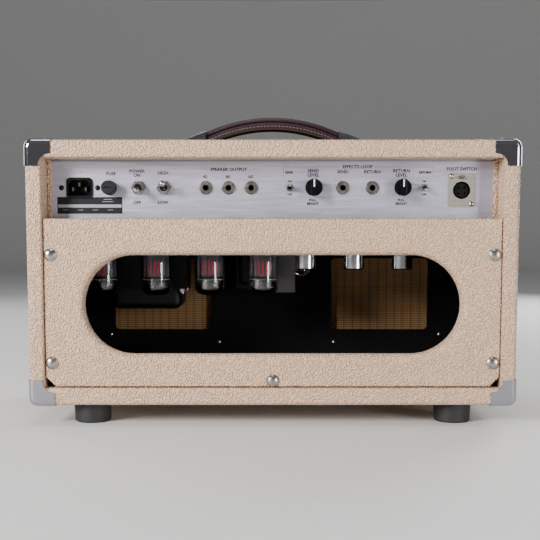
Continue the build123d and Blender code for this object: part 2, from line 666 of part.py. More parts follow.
def controls():
    """The potentiometers, the knobs with their shafts, and the two pull collars."""
    pulls = {"send": SEND_KNOB_U, "return": RETURN_KNOB_U}
    save("potentiometers", *[rear(u) * pot(True) for u in pulls.values()],
         *[front(x) * pot(False) for x in KNOB_XS.values()])
    for name, u in pulls.items():
        form, shaft = knob(-25.3)
        shaft += post(4.2, -27, -25.3)
        save(name + "_level_knob", rear(u) * form, rear(u) * shaft)
        save(name + "_pull_collar", rear(u) * ring(5.6, SHAFT_R + RUN, -25, -22))
    for name, x in KNOB_XS.items():
        form, shaft = knob(-12.8)
        save(name + "_knob", front(x) * form, front(x) * shaft)


def jacks():
    jack = post(JACK_BUSH_R, -WALL, JACK_TOP) + block(-10, 10, -9, 9, JACK_BACK, -WALL)
    jack -= post(JACK_BORE_R, JACK_BACK + 2, JACK_TOP + 1)
    places = [rear(u) for u in SPEAKER_US + (SEND_JACK_U, RETURN_JACK_U)]
    places += [front(x) for x in INPUT_XS]
    save("jack_sockets", *[place * jack for place in places])


def panel_nuts():
    """The nut of every bushing that comes through a panel."""
    nuts = [place * hexagon(8.25, 5.95, 0, 2.4)
            for place in (rear(POWER_U), rear(LEVEL_U), front(STANDBY_X))]
    nuts += [place * hexagon(4.6, 3.15, 0, 1.6)
             for place in (rear(SEND_SWITCH_U), rear(RETURN_SWITCH_U), front(BRIGHT_X))]
    pots = [rear(SEND_KNOB_U), rear(RETURN_KNOB_U)] + [front(x) for x in KNOB_XS.values()]
    nuts += [place * hexagon(7.2, BUSH_R + 0.05, 0, 2.2) for place in pots]
    sleeve = turn(Polyline((JACK_BUSH_R + 0.05, 0), (7.5, 0), (7.5, 1.1), (6.2, 2.4),
                           (JACK_BUSH_R + 0.05, 2.4), close=True))
    nuts += [rear(u) * sleeve for u in SPEAKER_US + (SEND_JACK_U, RETURN_JACK_U)]
    nuts += [front(x) * sleeve for x in INPUT_XS]
    save("panel_nuts", *nuts)


def footswitch_parts():
    """A round four-contact socket on a flanged plate, with a press-in release latch."""
    place = rear(FOOTSWITCH_U, FOOTSWITCH_Z)
    plate = extrude(RectangleRounded(29.0, 37.0, 2.5), 1.5)
    barrel = post(XLR_BARREL_R, -22, 0.5)
    socket = plate + barrel - post(XLR_GAP_R, -20, 3)
    socket -= block(-3.3, 3.3, LATCH_UP - 1.9, LATCH_UP + 1.9, -1, 3)
    socket -= [Pos(-11.2, 15.2) * post(1.55, -1, 3), Pos(11.2, -15.2) * post(1.55, -1, 3)]
    save("footswitch_socket", place * socket)
    insert = post(XLR_INSERT_R, -20, 0.3)
    contacts = [(-3.6, 3.4), (3.6, 3.4), (-3.6, -3.4), (3.6, -3.4)]
    insert -= [post(1.1, -12, 1, x, y) for x, y in contacts]
    save("footswitch_insert", place * insert)
    latch = block(-3.0, 3.0, LATCH_UP - 1.6, LATCH_UP + 1.6, -9, 4.2)
    save("footswitch_latch", place * latch)


def pilot_lamp():
    """A jewel lamp: a bezel, a faceted lens and the lamp holder behind the panel."""
    holder = ring(9.0, 6.6, 0, 2.4) + post(6.4, -26, 0) - post(5.2, -24, 1)
    jewel = turn(Polyline((0, 0.6), (6.3, 0.6), (6.3, 4.0), (3.6, 7.5), (0, 8.6), close=True))
    ledge = ring(6.6, 5.2, -1.5, 0.6)
    save("pilot_lamp", front(LAMP_X) * (holder + ledge), front(LAMP_X) * jewel)


def circuit_board():
    """The main board on its pillars, with the reservoir capacitors lying on it."""
    base = PAN_Z0 + SHEET
    board = block(-175, 45, -62, -2, base + 10, base + 12)
    spots = [(x, y) for x in (-168, -65, 38) for y in (-55, -9)]
    pillars = [post(3, base, base + 10, x, y) for x, y in spots]
    cans = [Pos(x, -32, base + 12 + 7.0) * Rot(90, 0, 0) * Cylinder(7.0, 40)
            for x in (-150, -128, -106, -84)]
    save("circuit_board", board, *pillars, *cans)


# ---------------------------------------------------------------- valves and iron


def power_valves():
    """Four octal power valves: glass, anode, base and pins, and the sockets they hang in."""
    r = POWER_GLASS_R
    inner = r - 1.0
    shoulder = POWER_TIP_Z + r
    neck = POWER_BASE_Z0
    slant = math.sqrt(0.5)
    outside = turn(
        Polyline((0, neck), (13.5, neck), (r, neck - 9), (r, shoulder)),
        ThreePointArc((r, shoulder), (r * slant, shoulder - r * slant), (0, shoulder - r)),
        Line((0, shoulder - r), (0, neck)))
    inside = turn(
        Polyline((0, neck + 1), (12.5, neck + 1), (12.5, neck), (inner, neck - 9.3),
                 (inner, shoulder)),
        ThreePointArc((inner, shoulder), (inner * slant, shoulder - inner * slant),
                      (0, shoulder - inner)),
        Line((0, shoulder - inner), (0, neck + 1)))
    glass = outside - inside
    anode = Pos(0, 0, 160) * extrude(RectangleRounded(26, 18, 6), 36)
    anode += Pos(0, 0, 197) * Cylinder(9, 5.6)
    anode += Pos(0, 0, 157.5) * Cylinder(10.5, 1.0) + Pos(0, 0, 159) * Cylinder(2, 3)
    base = post(16.6, neck, POWER_BASE_Z1)
    pins = PolarLocations(8.7, 8)
    base += [spot * post(POWER_PIN_R, POWER_BASE_Z1, POWER_BASE_Z1 + 10) for spot in pins]
    socket = post(15.0, POWER_BASE_Z1 + 0.4, PAN_Z0 + 6) + post(19.0, PAN_Z0 - 2.5, PAN_Z0)
    socket -= [spot * post(POWER_PIN_R + 0.1, POWER_BASE_Z1, PAN_Z0 + 4) for spot in pins]
    places = [Pos(-u, y, 0) for u, y in POWER_VALVES]
    save("power_valve_glass", *[place * glass for place in places])
    save("power_valve_anodes", *[place * anode for place in places])
    save("power_valve_bases", *[place * base for place in places])
    small = post(9.0, PAN_Z0 - 5, PAN_Z0 + 3) + post(11.0, PAN_Z0 - 1.5, PAN_Z0)
    spots = [Pos(-u, y, 0) for u, y in PREAMP_VALVES + [BARE_VALVE]]
    save("valve_sockets", *[place * socket for place in places],
         *[place * small for place in spots])


def preamp_valves():
    """Four small valves, three of them in turned shields."""
    r = PREAMP_GLASS_R
    top = PAN_Z0 - 5.2

    def glass(tip):
        return turn(Polyline((0, top), (r, top), (r, tip + 9)),
                    ThreePointArc((r, tip + 9), (r * 0.66, tip + 3.6), (1.6, tip + 2.2)),
                    Polyline((1.6, tip + 2.2), (0, tip), (0, top)))

    valves = [Pos(-u, y, 0) * glass(SHIELD_Z0 + 4) for u, y in PREAMP_VALVES]
    valves.append(Pos(-BARE_VALVE[0], BARE_VALVE[1], 0) * glass(157.0))
    save("preamp_valves", *valves)
    shield = turn(Polyline((5.0, SHIELD_Z0), (SHIELD_R - 1.5, SHIELD_Z0),
                           (SHIELD_R, SHIELD_Z0 + 1.5), (SHIELD_R, 207), (SHIELD_R + 1.2, 208.5),
                           (SHIELD_R + 1.2, PAN_Z0), (SHIELD_R + 0.4, PAN_Z0),
                           (SHIELD_R + 0.4, 209), (SHIELD_R - 0.8, 207),
                           (SHIELD_R - 0.8, SHIELD_Z0 + 0.9), (5.0, SHIELD_Z0 + 0.9),
                           close=True))
    save("valve_shields", *[Pos(-u, y, 0) * shield for u, y in PREAMP_VALVES])


def rounded_block(x0, x1, y0, y1, z0, z1, radius, open_axis):
    """An end bell: a block rounded on every edge but those of its flat side."""
    shape = block(x0, x1, y0, y1, z0, z1)
    flat = shape.faces().sort_by(open_axis)[-1]
    edges = [edge for edge in shape.edges()
             if edge.center() not in [held.center() for held in flat.edges()]]
    return fillet(edges, radius)


def output_bracket():
    """The folded channel that the output transformer hangs from, open to the front."""
    x0, x1, y0, y1, z0, z1 = OUTPUT_BRACKET
    inside = block(x0 + BRACKET_T, x1 - BRACKET_T, y0 - 1, y1 - BRACKET_T, z0 - 1, z1 - BRACKET_T)
    return block(x0, x1, y0, y1, z0, z1) - inside


def transformers():
    """The mains transformer, the output transformer and the choke, under the chassis."""
    mains_bell = rounded_block(*MAINS_BELL, 9.0, Axis.Z)
    output_bells = [rounded_block(*OUTPUT_REAR_BELL, 7.0, -Axis.Y),
                    rounded_block(*OUTPUT_FRONT_BELL, 7.0, Axis.Y)]
    choke_bell = rounded_block(*CHOKE_BELL, 5.0, -Axis.Y)
    save("transformer_cores", block(*MAINS_CORE), block(*OUTPUT_CORE), block(*CHOKE_CORE))
    save("transformer_bells", mains_bell, *output_bells, choke_bell, output_bracket())


def main():
    os.makedirs("parts", exist_ok=True)
    boards()
    panel_cleats()
    back_panel()
    panel_fixings()
    front_baffle()
    corner_protectors()
    handle()
    machine_bolts()
    feet()
    chassis_pan()
    face_plates()
    power_inlet()
    fuse_parts()
    switches()
    controls()
    jacks()
    panel_nuts()
    footswitch_parts()
    pilot_lamp()
    circuit_board()
    power_valves()
    preamp_valves()
    transformers()


main()
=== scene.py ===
import logging
import math
from collections.abc import Callable, Iterable, Sequence
from dataclasses import dataclass, field
from enum import Enum

import bmesh
import bpy
from mathutils import Matrix, Vector


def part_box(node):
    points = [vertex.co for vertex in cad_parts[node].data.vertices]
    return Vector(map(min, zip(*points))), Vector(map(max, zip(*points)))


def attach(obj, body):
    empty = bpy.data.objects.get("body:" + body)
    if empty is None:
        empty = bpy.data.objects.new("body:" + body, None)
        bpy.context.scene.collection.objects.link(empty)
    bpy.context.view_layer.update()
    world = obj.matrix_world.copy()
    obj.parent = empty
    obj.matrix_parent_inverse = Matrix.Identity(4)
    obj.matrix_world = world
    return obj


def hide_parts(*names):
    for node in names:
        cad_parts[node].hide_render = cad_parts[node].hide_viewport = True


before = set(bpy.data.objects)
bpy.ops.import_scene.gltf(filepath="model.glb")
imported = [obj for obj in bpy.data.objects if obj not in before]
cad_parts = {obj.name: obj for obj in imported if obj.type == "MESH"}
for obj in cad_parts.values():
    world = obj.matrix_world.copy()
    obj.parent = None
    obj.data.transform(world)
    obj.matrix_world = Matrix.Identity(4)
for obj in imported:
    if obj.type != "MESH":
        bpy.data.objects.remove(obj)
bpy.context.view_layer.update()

LOG = logging.getLogger("amp_head")
MM = 0.001
CASE = "case_and_chassis"


class Face(Enum):
    """The two control panels, as the direction each one looks."""

    REAR = 1
    FRONT = -1


FRONT_KNOBS = ("gain", "treble", "middle", "bass", "master", "presence")
REAR_KNOBS = ("send_level_knob", "return_level_knob")
TOGGLES = ("power", "level", "send", "return", "standby", "bright")


# ---------------------------------------------------------------- small tools


def linear(code: str) -> tuple[float, float, float, float]:
    """Turn an sRGB hex colour into linear light.

    Args:
        code: Six hex digits, with or without a leading hash.

    Returns:
        Red, green, blue and a full alpha.
    """
    digits = code.lstrip("#")
    parts = [int(digits[i:i + 2], 16) / 255 for i in (0, 2, 4)]
    light = [p / 12.92 if p <= 0.04045 else ((p + 0.055) / 1.055) ** 2.4 for p in parts]
    return (light[0], light[1], light[2], 1.0)


def per(millimetres: float) -> float:
    """Give the texture scale at which one feature of a pattern is that many millimetres."""
    return 1.0 / (millimetres * MM)


def add(tree: bpy.types.NodeTree, kind: str, links: dict[str, object] | None = None,
        values: dict[str, object] | None = None, **settings: object) -> bpy.types.Node:
    """Add a node with its settings, its socket values and its incoming links.

    Args:
        tree: The node tree to add to.
        kind: The node's type name.
        links: Input socket name to the output socket that feeds it.
        values: Input socket name to its constant value.
        **settings: The node's own properties.

    Returns:
        The new node.
    """
    node = tree.nodes.new(kind)
    for key, value in settings.items():
        setattr(node, key, value)
    for key, value in (values or {}).items():
        node.inputs[int(key) if key.isdigit() else key].default_value = value
    for key, source in (links or {}).items():
        tree.links.new(source, node.inputs[int(key) if key.isdigit() else key])
    return node


def solids(node: str) -> list[tuple[Vector, Vector]]:
    """Find the separate solids of a CAD node.

    Args:
        node: The CAD node's name.

    Returns:
        Each solid's lowest and highest corner, ordered along X.
    """
    bm = bmesh.new()
    bm.from_mesh(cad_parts[node].data)
    bmesh.ops.remove_doubles(bm, verts=bm.verts, dist=0.002 * MM)
    left = set(bm.verts)
    boxes = []
    while left:
        stack = [left.pop()]
        low = stack[0].co.copy()
        high = stack[0].co.copy()
        while stack:
            vert = stack.pop()
            low = Vector(map(min, low, vert.co))
            high = Vector(map(max, high, vert.co))
            for edge in vert.link_edges:
                other = edge.other_vert(vert)
                if other in left:
                    left.remove(other)
                    stack.append(other)
        boxes.append((low, high))
    bm.free()
    return sorted(boxes, key=lambda box: box[0].x + box[1].x)


def middle(box: tuple[Vector, Vector]) -> Vector:
    """Give the centre of a box."""
    return (box[0] + box[1]) / 2


def arc(centre: tuple[float, float], radius: float, start: float, end: float,
        steps: int) -> list[tuple[float, float]]:
    """Give points on an arc in a plane.

    Args:
        centre: The arc's centre.
        radius: Its radius.
        start: Its first angle in degrees.
        end: Its last angle in degrees.
        steps: How many spans it has.

    Returns:
        The points, both ends included.
    """
    turns = [math.radians(start + (end - start) * i / steps) for i in range(steps + 1)]
    return [(centre[0] + radius * math.cos(t), centre[1] + radius * math.sin(t)) for t in turns]


def lathe(bm: bmesh.types.BMesh, outline: Sequence[tuple[float, float]], centre: Vector,
          steps: int = 40, axis: Vector = Vector((0, 0, 1))) -> None:
    """Spin an outline of radius and height round an upright axis into a bmesh.

    Args:
        bm: The bmesh that receives the shape.
        outline: Pairs of radius and height, in metres, measured from centre.
        centre: The foot of the axis.
        steps: Spans in the full turn.
        axis: The direction of height.
    """
    made = bmesh.new()
    verts = [made.verts.new((radius, 0, height)) for radius, height in outline]
    edges = [made.edges.new(pair) for pair in zip(verts, verts[1:])]
    bmesh.ops.spin(made, geom=verts + edges, cent=(0, 0, 0), axis=(0, 0, 1),
                   angle=math.tau, steps=steps, use_merge=True)
    bmesh.ops.remove_doubles(made, verts=made.verts, dist=0.001 * MM)
    bmesh.ops.recalc_face_normals(made, faces=made.faces)
    turn = Vector((0, 0, 1)).rotation_difference(axis).to_matrix().to_4x4()
    bmesh.ops.transform(made, matrix=Matrix.Translation(centre) @ turn, verts=made.verts)
    pour(made, bm)


def pour(source: bmesh.types.BMesh, target: bmesh.types.BMesh) -> None:
    """Move everything in one bmesh into another, and free the first."""
    mesh = bpy.data.meshes.new("pour")
    source.to_mesh(mesh)
    source.free()
    target.from_mesh(mesh)
    bpy.data.meshes.remove(mesh)


def bar(bm: bmesh.types.BMesh, low: Vector, high: Vector, soften: float,
        segments: int = 3) -> None:
    """Add a box with softened edges.

    Args:
        bm: The bmesh that receives it.
        low: Its lowest corner.
        high: Its highest corner.
        soften: The width of its rounded edges.
        segments: Spans across each rounded edge.
    """
    made = bmesh.new()
    bmesh.ops.create_cube(made, size=1.0)
    size = high - low
    bmesh.ops.scale(made, vec=size, verts=made.verts)
    bmesh.ops.translate(made, vec=(low + high) / 2, verts=made.verts)
    bmesh.ops.bevel(made, geom=made.edges, offset=soften, segments=segments, profile=0.5,
                    affect="EDGES", material=-1)
    pour(made, bm)


def panel_matrix(face: Face, at: Vector) -> Matrix:
    """Give the matrix that lays a drawing on a control panel.

    Args:
        face: Which panel.
        at: The drawing's origin.

    Returns:
        X to the right as the panel is read, Y up and Z out of the panel.
    """
    right = Vector((-face.value, 0, 0))
    out = Vector((0, face.value, 0))
    return Matrix((
        (right.x, 0, out.x, at.x),
        (right.y, 0, out.y, at.y),
        (0, 1, 0, at.z),
        (0, 0, 0, 1)))


# ---------------------------------------------------------------- finishes


@dataclass(frozen=True)
class Finish:
    """A surface finish: one principled shader, with a pattern that a subclass adds.

    Attributes:
        name: The finish's plain name.
        colour: Its base colour as sRGB hex.
        metallic: How metallic it is.
        roughness: Its mean roughness.
        ior: Its index of refraction.
        coat: Weight of a clear coat.
        sheen: Weight of a fabric sheen.
        specular: How strongly it reflects when it isn't metal.
    """

    name: str
    colour: str
    metallic: float = 0.0
    roughness: float = 0.5
    ior: float = 1.5
    coat: float = 0.0
    sheen: float = 0.0
    specular: float = 0.5

    def material(self) -> bpy.types.Material:
        """Make the material, or give the one already made."""
        known = bpy.data.materials.get(self.name)
        if known:
            return known
        made = bpy.data.materials.new(self.name)
        made.use_nodes = True
        tree = made.node_tree
        shader = next(n for n in tree.nodes if n.type == "BSDF_PRINCIPLED")
        shader.inputs["Base Color"].default_value = linear(self.colour)
        shader.inputs["Metallic"].default_value = self.metallic
        shader.inputs["Roughness"].default_value = self.roughness
        shader.inputs["IOR"].default_value = self.ior
        shader.inputs["Coat Weight"].default_value = self.coat
        shader.inputs["Coat Roughness"].default_value = 0.08
        shader.inputs["Sheen Weight"].default_value = self.sheen
        shader.inputs["Sheen Roughness"].default_value = 0.4
        shader.inputs["Specular IOR Level"].default_value = self.specular
        self.pattern(tree, shader)
        made.diffuse_color = linear(self.colour)
        return made

    def pattern(self, tree: bpy.types.NodeTree, shader: bpy.types.Node) -> None:
        """Add the finish's own pattern to the shader."""
        self.mottle(tree, shader, 18.0, 0.06, 0.06)

    def place(self, tree: bpy.types.NodeTree, stretch: tuple[float, float, float] = (1, 1, 1)
              ) -> bpy.types.NodeSocket:
        """Give object coordinates, stretched along each axis."""
        where = add(tree, "ShaderNodeTexCoord")
        mapping = add(tree, "ShaderNodeMapping", {"Vector": where.outputs["Object"]},
                      {"Scale": stretch})
        return mapping.outputs["Vector"]

    def mottle(self, tree: bpy.types.NodeTree, shader: bpy.types.Node, size: float,
               tone: float, rough: float) -> None:
        """Vary colour and roughness slowly over the surface.

        Args:
            tree: The material's nodes.
            shader: Its principled shader.
            size: The patches' size in millimetres.
            tone: How far the colour darkens, from 0 to 1.
            rough: How far the roughness swings.
        """
        noise = add(tree, "ShaderNodeTexNoise", {"Vector": self.place(tree)},
                    {"Scale": per(size), "Detail": 4.0, "Roughness": 0.6})
        fac = noise.outputs["Fac"]
        spread = add(tree, "ShaderNodeMapRange", {"Value": fac}, {
            "From Min": 0.3, "From Max": 0.7,
            "To Min": max(0.02, self.roughness - rough),
            "To Max": min(1.0, self.roughness + rough)})
        tree.links.new(spread.outputs["Result"], shader.inputs["Roughness"])
        base = linear(self.colour)
        dark = tuple(c * (1 - 2 * tone) for c in base[:3]) + (1.0,)
        mix = add(tree, "ShaderNodeMix", {"Factor": fac}, {"6": dark, "7": base},
                  data_type="RGBA")
        tree.links.new(mix.outputs[2], shader.inputs["Base Color"])

    def bump(self, tree: bpy.types.NodeTree, shader: bpy.types.Node,
             height: bpy.types.NodeSocket, depth: float, strength: float = 1.0) -> None:
        """Raise the surface by a height pattern, depth in millimetres."""
        node = add(tree, "ShaderNodeBump", {"Height": height},
                   {"Distance": depth * MM, "Strength": strength})
        tree.links.new(node.outputs["Normal"], shader.inputs["Normal"])


@dataclass(frozen=True)
class PebbledVinyl(Finish):
    """Expanded vinyl pressed with a long pebble grain: soft, with painted shade in the creases.

    The depth is deeper than real vinyl's, so that the relief shows from a metre away.
    """

    # Colour of the painted shade in the creases between the pebbles.
    crease: str = "#CFA888"
    grain: float = 2.2
    bend: float = 0.9
    depth: float = 2.9

    def pattern(self, tree: bpy.types.NodeTree, shader: bpy.types.Node) -> None:
        """Press winding pebbles into the vinyl and paint shade into the creases between them."""
        where = self.place(tree)
        drift = add(tree, "ShaderNodeTexNoise", {"Vector": where},
                    {"Scale": per(self.grain * 1.6), "Detail": 2.0})
        bend = add(tree, "ShaderNodeVectorMath",
                   {"0": drift.outputs["Color"]},
                   {"1": (self.grain * self.bend * MM,) * 3}, operation="MULTIPLY")
        bent = add(tree, "ShaderNodeVectorMath",
                   {"0": where, "1": bend.outputs["Vector"]}, operation="ADD")
        cells = add(tree, "ShaderNodeTexVoronoi", {"Vector": bent.outputs["Vector"]},
                    {"Scale": per(self.grain), "Smoothness": 0.3}, feature="SMOOTH_F1")
        fine = add(tree, "ShaderNodeTexNoise", {"Vector": where},
                   {"Scale": per(1.0), "Detail": 3.0})
        pebble = add(tree, "ShaderNodeMapRange", {"Value": cells.outputs["Distance"]},
                     {"From Min": 0.15, "From Max": 0.68, "To Min": 1.0, "To Max": 0.0},
                     interpolation_type="SMOOTHSTEP")
        height = add(tree, "ShaderNodeMath",
                     {"0": fine.outputs["Fac"], "2": pebble.outputs["Result"]},
                     {"1": 0.3}, operation="MULTIPLY_ADD")
        self.bump(tree, shader, height.outputs["Value"], self.depth)
        cloud = add(tree, "ShaderNodeTexNoise", {"Vector": where},
                    {"Scale": per(110.0), "Detail": 3.0})
        tone = add(tree, "ShaderNodeMapRange", {"Value": cloud.outputs["Fac"]},
                   {"From Min": 0.3, "From Max": 0.7, "To Min": 0.96, "To Max": 1.0})
        # Painted shade: the creases between the pebbles take the darker crease colour.
        crown = add(tree, "ShaderNodeMapRange", {"Value": pebble.outputs["Result"]},
                    {"From Min": 0.0, "From Max": 0.3})
        mix = add(tree, "ShaderNodeMix", {"Factor": crown.outputs["Result"]},
                  {"6": linear(self.crease), "7": linear(self.colour)}, data_type="RGBA")
        shade = add(tree, "ShaderNodeMix",
                    {"6": mix.outputs[2], "7": tone.outputs["Result"]}, {"Factor": 1.0},
                    data_type="RGBA", blend_type="MULTIPLY")
        tree.links.new(shade.outputs[2], shader.inputs["Base Color"])


@dataclass(frozen=True)
class SatinPlate(Finish):
    """Bead-blasted, clear-anodised aluminium sheet: an even satin with a fine grain."""

    def pattern(self, tree: bpy.types.NodeTree, shader: bpy.types.Node) -> None:
        """Blast a fine grain, with a faint drawn direction along the panel."""
        # Real blasting is about 0.1 mm, which wouldn't show: both grains are drawn coarse.
        grit = add(tree, "ShaderNodeTexNoise", {"Vector": self.place(tree)},
                   {"Scale": per(1.6), "Detail": 2.0})
        drawn = add(tree, "ShaderNodeTexNoise",
                    {"Vector": self.place(tree, (0.06, 1.0, 1.0))},
                    {"Scale": per(2.0), "Detail": 2.0})
        both = add(tree, "ShaderNodeMath", {"0": grit.outputs["Fac"], "1": drawn.outputs["Fac"]},
                   operation="ADD")
        rough = add(tree, "ShaderNodeMapRange", {"Value": both.outputs["Value"]},
                    {"From Min": 0.7, "From Max": 1.3, "To Min": self.roughness - 0.05,
                     "To Max": self.roughness + 0.07})
        tree.links.new(rough.outputs["Result"], shader.inputs["Roughness"])
        tone = add(tree, "ShaderNodeMapRange", {"Value": both.outputs["Value"]},
                   {"From Min": 0.7, "From Max": 1.3, "To Min": 0.8, "To Max": 1.0})
        mix = add(tree, "ShaderNodeMix", {"7": tone.outputs["Result"]},
                  {"Factor": 1.0, "6": linear(self.colour)},
                  data_type="RGBA", blend_type="MULTIPLY")
        tree.links.new(mix.outputs[2], shader.inputs["Base Color"])
        self.bump(tree, shader, both.outputs["Value"], 0.08, 0.6)


@dataclass(frozen=True)
class Plated(Finish):
    """Plated metal: bright, with faint handling haze and a scatter of fine scuffs.

    A pressed part is never quite flat, so its wave bends what it reflects.
    """

    scuff: float = 0.05
    wave: float = 0.0

    def pattern(self, tree: bpy.types.NodeTree, shader: bpy.types.Node) -> None:
        """Haze the plating in soft patches and lay hairline scuffs over it."""
        self.mottle(tree, shader, 6.0, 0.04, self.scuff)
        hair = add(tree, "ShaderNodeTexNoise",
                   {"Vector": self.place(tree, (1.0, 0.15, 0.6))},
                   {"Scale": per(0.7), "Detail": 3.0})
        swell = add(tree, "ShaderNodeTexNoise", {"Vector": self.place(tree)},
                    {"Scale": per(16.0), "Detail": 1.0})
        height = add(tree, "ShaderNodeMath",
                     {"0": swell.outputs["Fac"], "2": hair.outputs["Fac"]},
                     {"1": self.wave / 0.02}, operation="MULTIPLY_ADD")
        self.bump(tree, shader, height.outputs["Value"], 0.02, 0.35)


@dataclass(frozen=True)
class TurnedAluminium(Finish):
    """Spun aluminium can: fine rings round its axis catch the light."""

    def pattern(self, tree: bpy.types.NodeTree, shader: bpy.types.Node) -> None:
        """Stack fine rings up the can."""
        rings = add(tree, "ShaderNodeTexNoise",
                    {"Vector": self.place(tree, (0.02, 0.02, 1.0))},
                    {"Scale": per(0.9), "Detail": 3.0})
        self.mottle(tree, shader, 12.0, 0.05, 0.07)
        self.bump(tree, shader, rings.outputs["Fac"], 0.05, 0.6)


@dataclass(frozen=True)
class Moulded(Finish):
    """Moulded plastic or rubber: an even skin with a very fine spark-eroded texture."""

    texture: float = 0.8
    depth: float = 0.05

    def pattern(self, tree: bpy.types.NodeTree, shader: bpy.types.Node) -> None:
        """Give the skin its fine texture."""
        self.mottle(tree, shader, 9.0, 0.08, 0.07)
        skin = add(tree, "ShaderNodeTexNoise", {"Vector": self.place(tree)},
                   {"Scale": per(self.texture), "Detail": 2.0})
        self.bump(tree, shader, skin.outputs["Fac"], self.depth, 0.7)


@dataclass(frozen=True)
class StrapLeather(Finish):
    """Dyed, waxed hide: fine pores, a soft shine and slightly rubbed high spots."""

    def pattern(self, tree: bpy.types.NodeTree, shader: bpy.types.Node) -> None:
        """Crease the hide finely and rub its dye a little."""
        self.mottle(tree, shader, 7.0, 0.16, 0.09)
        pores = add(tree, "ShaderNodeTexVoronoi", {"Vector": self.place(tree)},
                    {"Scale": per(1.1)}, feature="DISTANCE_TO_EDGE")
        depth = add(tree, "ShaderNodeMapRange", {"Value": pores.outputs["Distance"]},
                    {"From Min": 0.0, "From Max": 0.18, "To Min": 0.0, "To Max": 1.0})
        self.bump(tree, shader, depth.outputs["Result"], 0.12, 0.5)


@dataclass(frozen=True)
class WovenCloth(Finish):
    """Grille cloth: thick weft rows over a thinner warp, with painted shade in the gaps between
    them.

    Real threads are nearer 1 mm apart, so the pitch is drawn coarse enough to show.
    """

    pitch: float = 2.9
    band: float = 11.0
    # Colour of the painted shade in the gaps between threads.
    stripe: str = "#3A2410"

    def pattern(self, tree: bpy.types.NodeTree, shader: bpy.types.Node) -> None:
        """Weave warp along Z over weft along X, paint shade into the gaps between threads, and
        darken a band every few threads.
        """
        where = self.place(tree)
        axes = add(tree, "ShaderNodeSeparateXYZ", {"Vector": where})
        scale = math.pi / (self.pitch * MM)
        waves = []
        for axis, share in (("X", 0.4), ("Z", 0.6)):
            turn = add(tree, "ShaderNodeMath", {"0": axes.outputs[axis]}, {"1": scale},
                       operation="MULTIPLY")
            wave = add(tree, "ShaderNodeMath", {"0": turn.outputs["Value"]}, operation="SINE")
            thread = add(tree, "ShaderNodeMath", {"0": wave.outputs["Value"]},
                         operation="ABSOLUTE")
            part = add(tree, "ShaderNodeMath", {"0": thread.outputs["Value"]}, {"1": share},
                       operation="MULTIPLY")
            waves.append(part.outputs["Value"])
        thread = add(tree, "ShaderNodeMath", {"0": waves[0], "1": waves[1]}, operation="ADD")
        fuzz = add(tree, "ShaderNodeTexNoise", {"Vector": where},
                   {"Scale": per(0.7), "Detail": 3.0})
        height = add(tree, "ShaderNodeMath",
                     {"0": fuzz.outputs["Fac"], "2": thread.outputs["Value"]}, {"1": 0.4},
                     operation="MULTIPLY_ADD")
        self.bump(tree, shader, height.outputs["Value"], 0.5, 1.0)
        # Painted shade: the low parts between the threads take the gap colour.
        ramp = add(tree, "ShaderNodeMapRange", {"Value": height.outputs["Value"]},
                   {"From Min": 0.35, "From Max": 1.0, "To Min": 0.0, "To Max": 1.0})
        mix = add(tree, "ShaderNodeMix", {"Factor": ramp.outputs["Result"]},
                  {"6": linear(self.stripe), "7": linear(self.colour)}, data_type="RGBA")
        band = add(tree, "ShaderNodeMath", {"0": axes.outputs["X"]},
                   {"1": math.tau / (self.band * MM)}, operation="MULTIPLY")
        swing = add(tree, "ShaderNodeMath", {"0": band.outputs["Value"]}, operation="SINE")
        tone = add(tree, "ShaderNodeMapRange", {"Value": swing.outputs["Value"]},
                   {"From Min": 0.5, "From Max": 1.0, "To Min": 1.0, "To Max": 0.66})
        striped = add(tree, "ShaderNodeMix",
                      {"6": mix.outputs[2], "7": tone.outputs["Result"]}, {"Factor": 1.0},
                      data_type="RGBA", blend_type="MULTIPLY")
        tree.links.new(striped.outputs[2], shader.inputs["Base Color"])


@dataclass(frozen=True)
class Laminations(Finish):
    """A stack of varnished steel stampings, seen edge on as fine level lines."""

    def pattern(self, tree: bpy.types.NodeTree, shader: bpy.types.Node) -> None:
        """Draw the stampings as level lines, coarser than the real 0.5 mm so that they show."""
        axes = add(tree, "ShaderNodeSeparateXYZ", {"Vector": self.place(tree)})
        turn = add(tree, "ShaderNodeMath", {"0": axes.outputs["Z"]},
                   {"1": math.tau / (1.4 * MM)}, operation="MULTIPLY")
        wave = add(tree, "ShaderNodeMath", {"0": turn.outputs["Value"]}, operation="SINE")
        self.mottle(tree, shader, 10.0, 0.15, 0.1)
        self.bump(tree, shader, wave.outputs["Value"], 0.15, 0.8)


@dataclass(frozen=True)
class Speckled(Finish):
    """The ragged edge of a getter's flash: bright metal grains on a film painted near black,
    painted shade for the dark that the mirror reflects.
    """

    grain: float = 1.0
    spark: str = "#A3A1A8"

    def pattern(self, tree: bpy.types.NodeTree, shader: bpy.types.Node) -> None:
        """Scatter bright grains over the film."""
        grains = add(tree, "ShaderNodeTexNoise", {"Vector": self.place(tree, (1.0, 1.0, 0.5))},
                     {"Scale": per(self.grain), "Detail": 2.0, "Roughness": 0.7})
        mask = add(tree, "ShaderNodeMapRange", {"Value": grains.outputs["Fac"]},
                   {"From Min": 0.58, "From Max": 0.68})
        # Painted shade: between the grains the film keeps its near-black colour.
        mix = add(tree, "ShaderNodeMix", {"Factor": mask.outputs["Result"]},
                  {"6": linear(self.colour), "7": linear(self.spark)}, data_type="RGBA")
        tree.links.new(mix.outputs[2], shader.inputs["Base Color"])
        self.bump(tree, shader, grains.outputs["Fac"], 0.4)


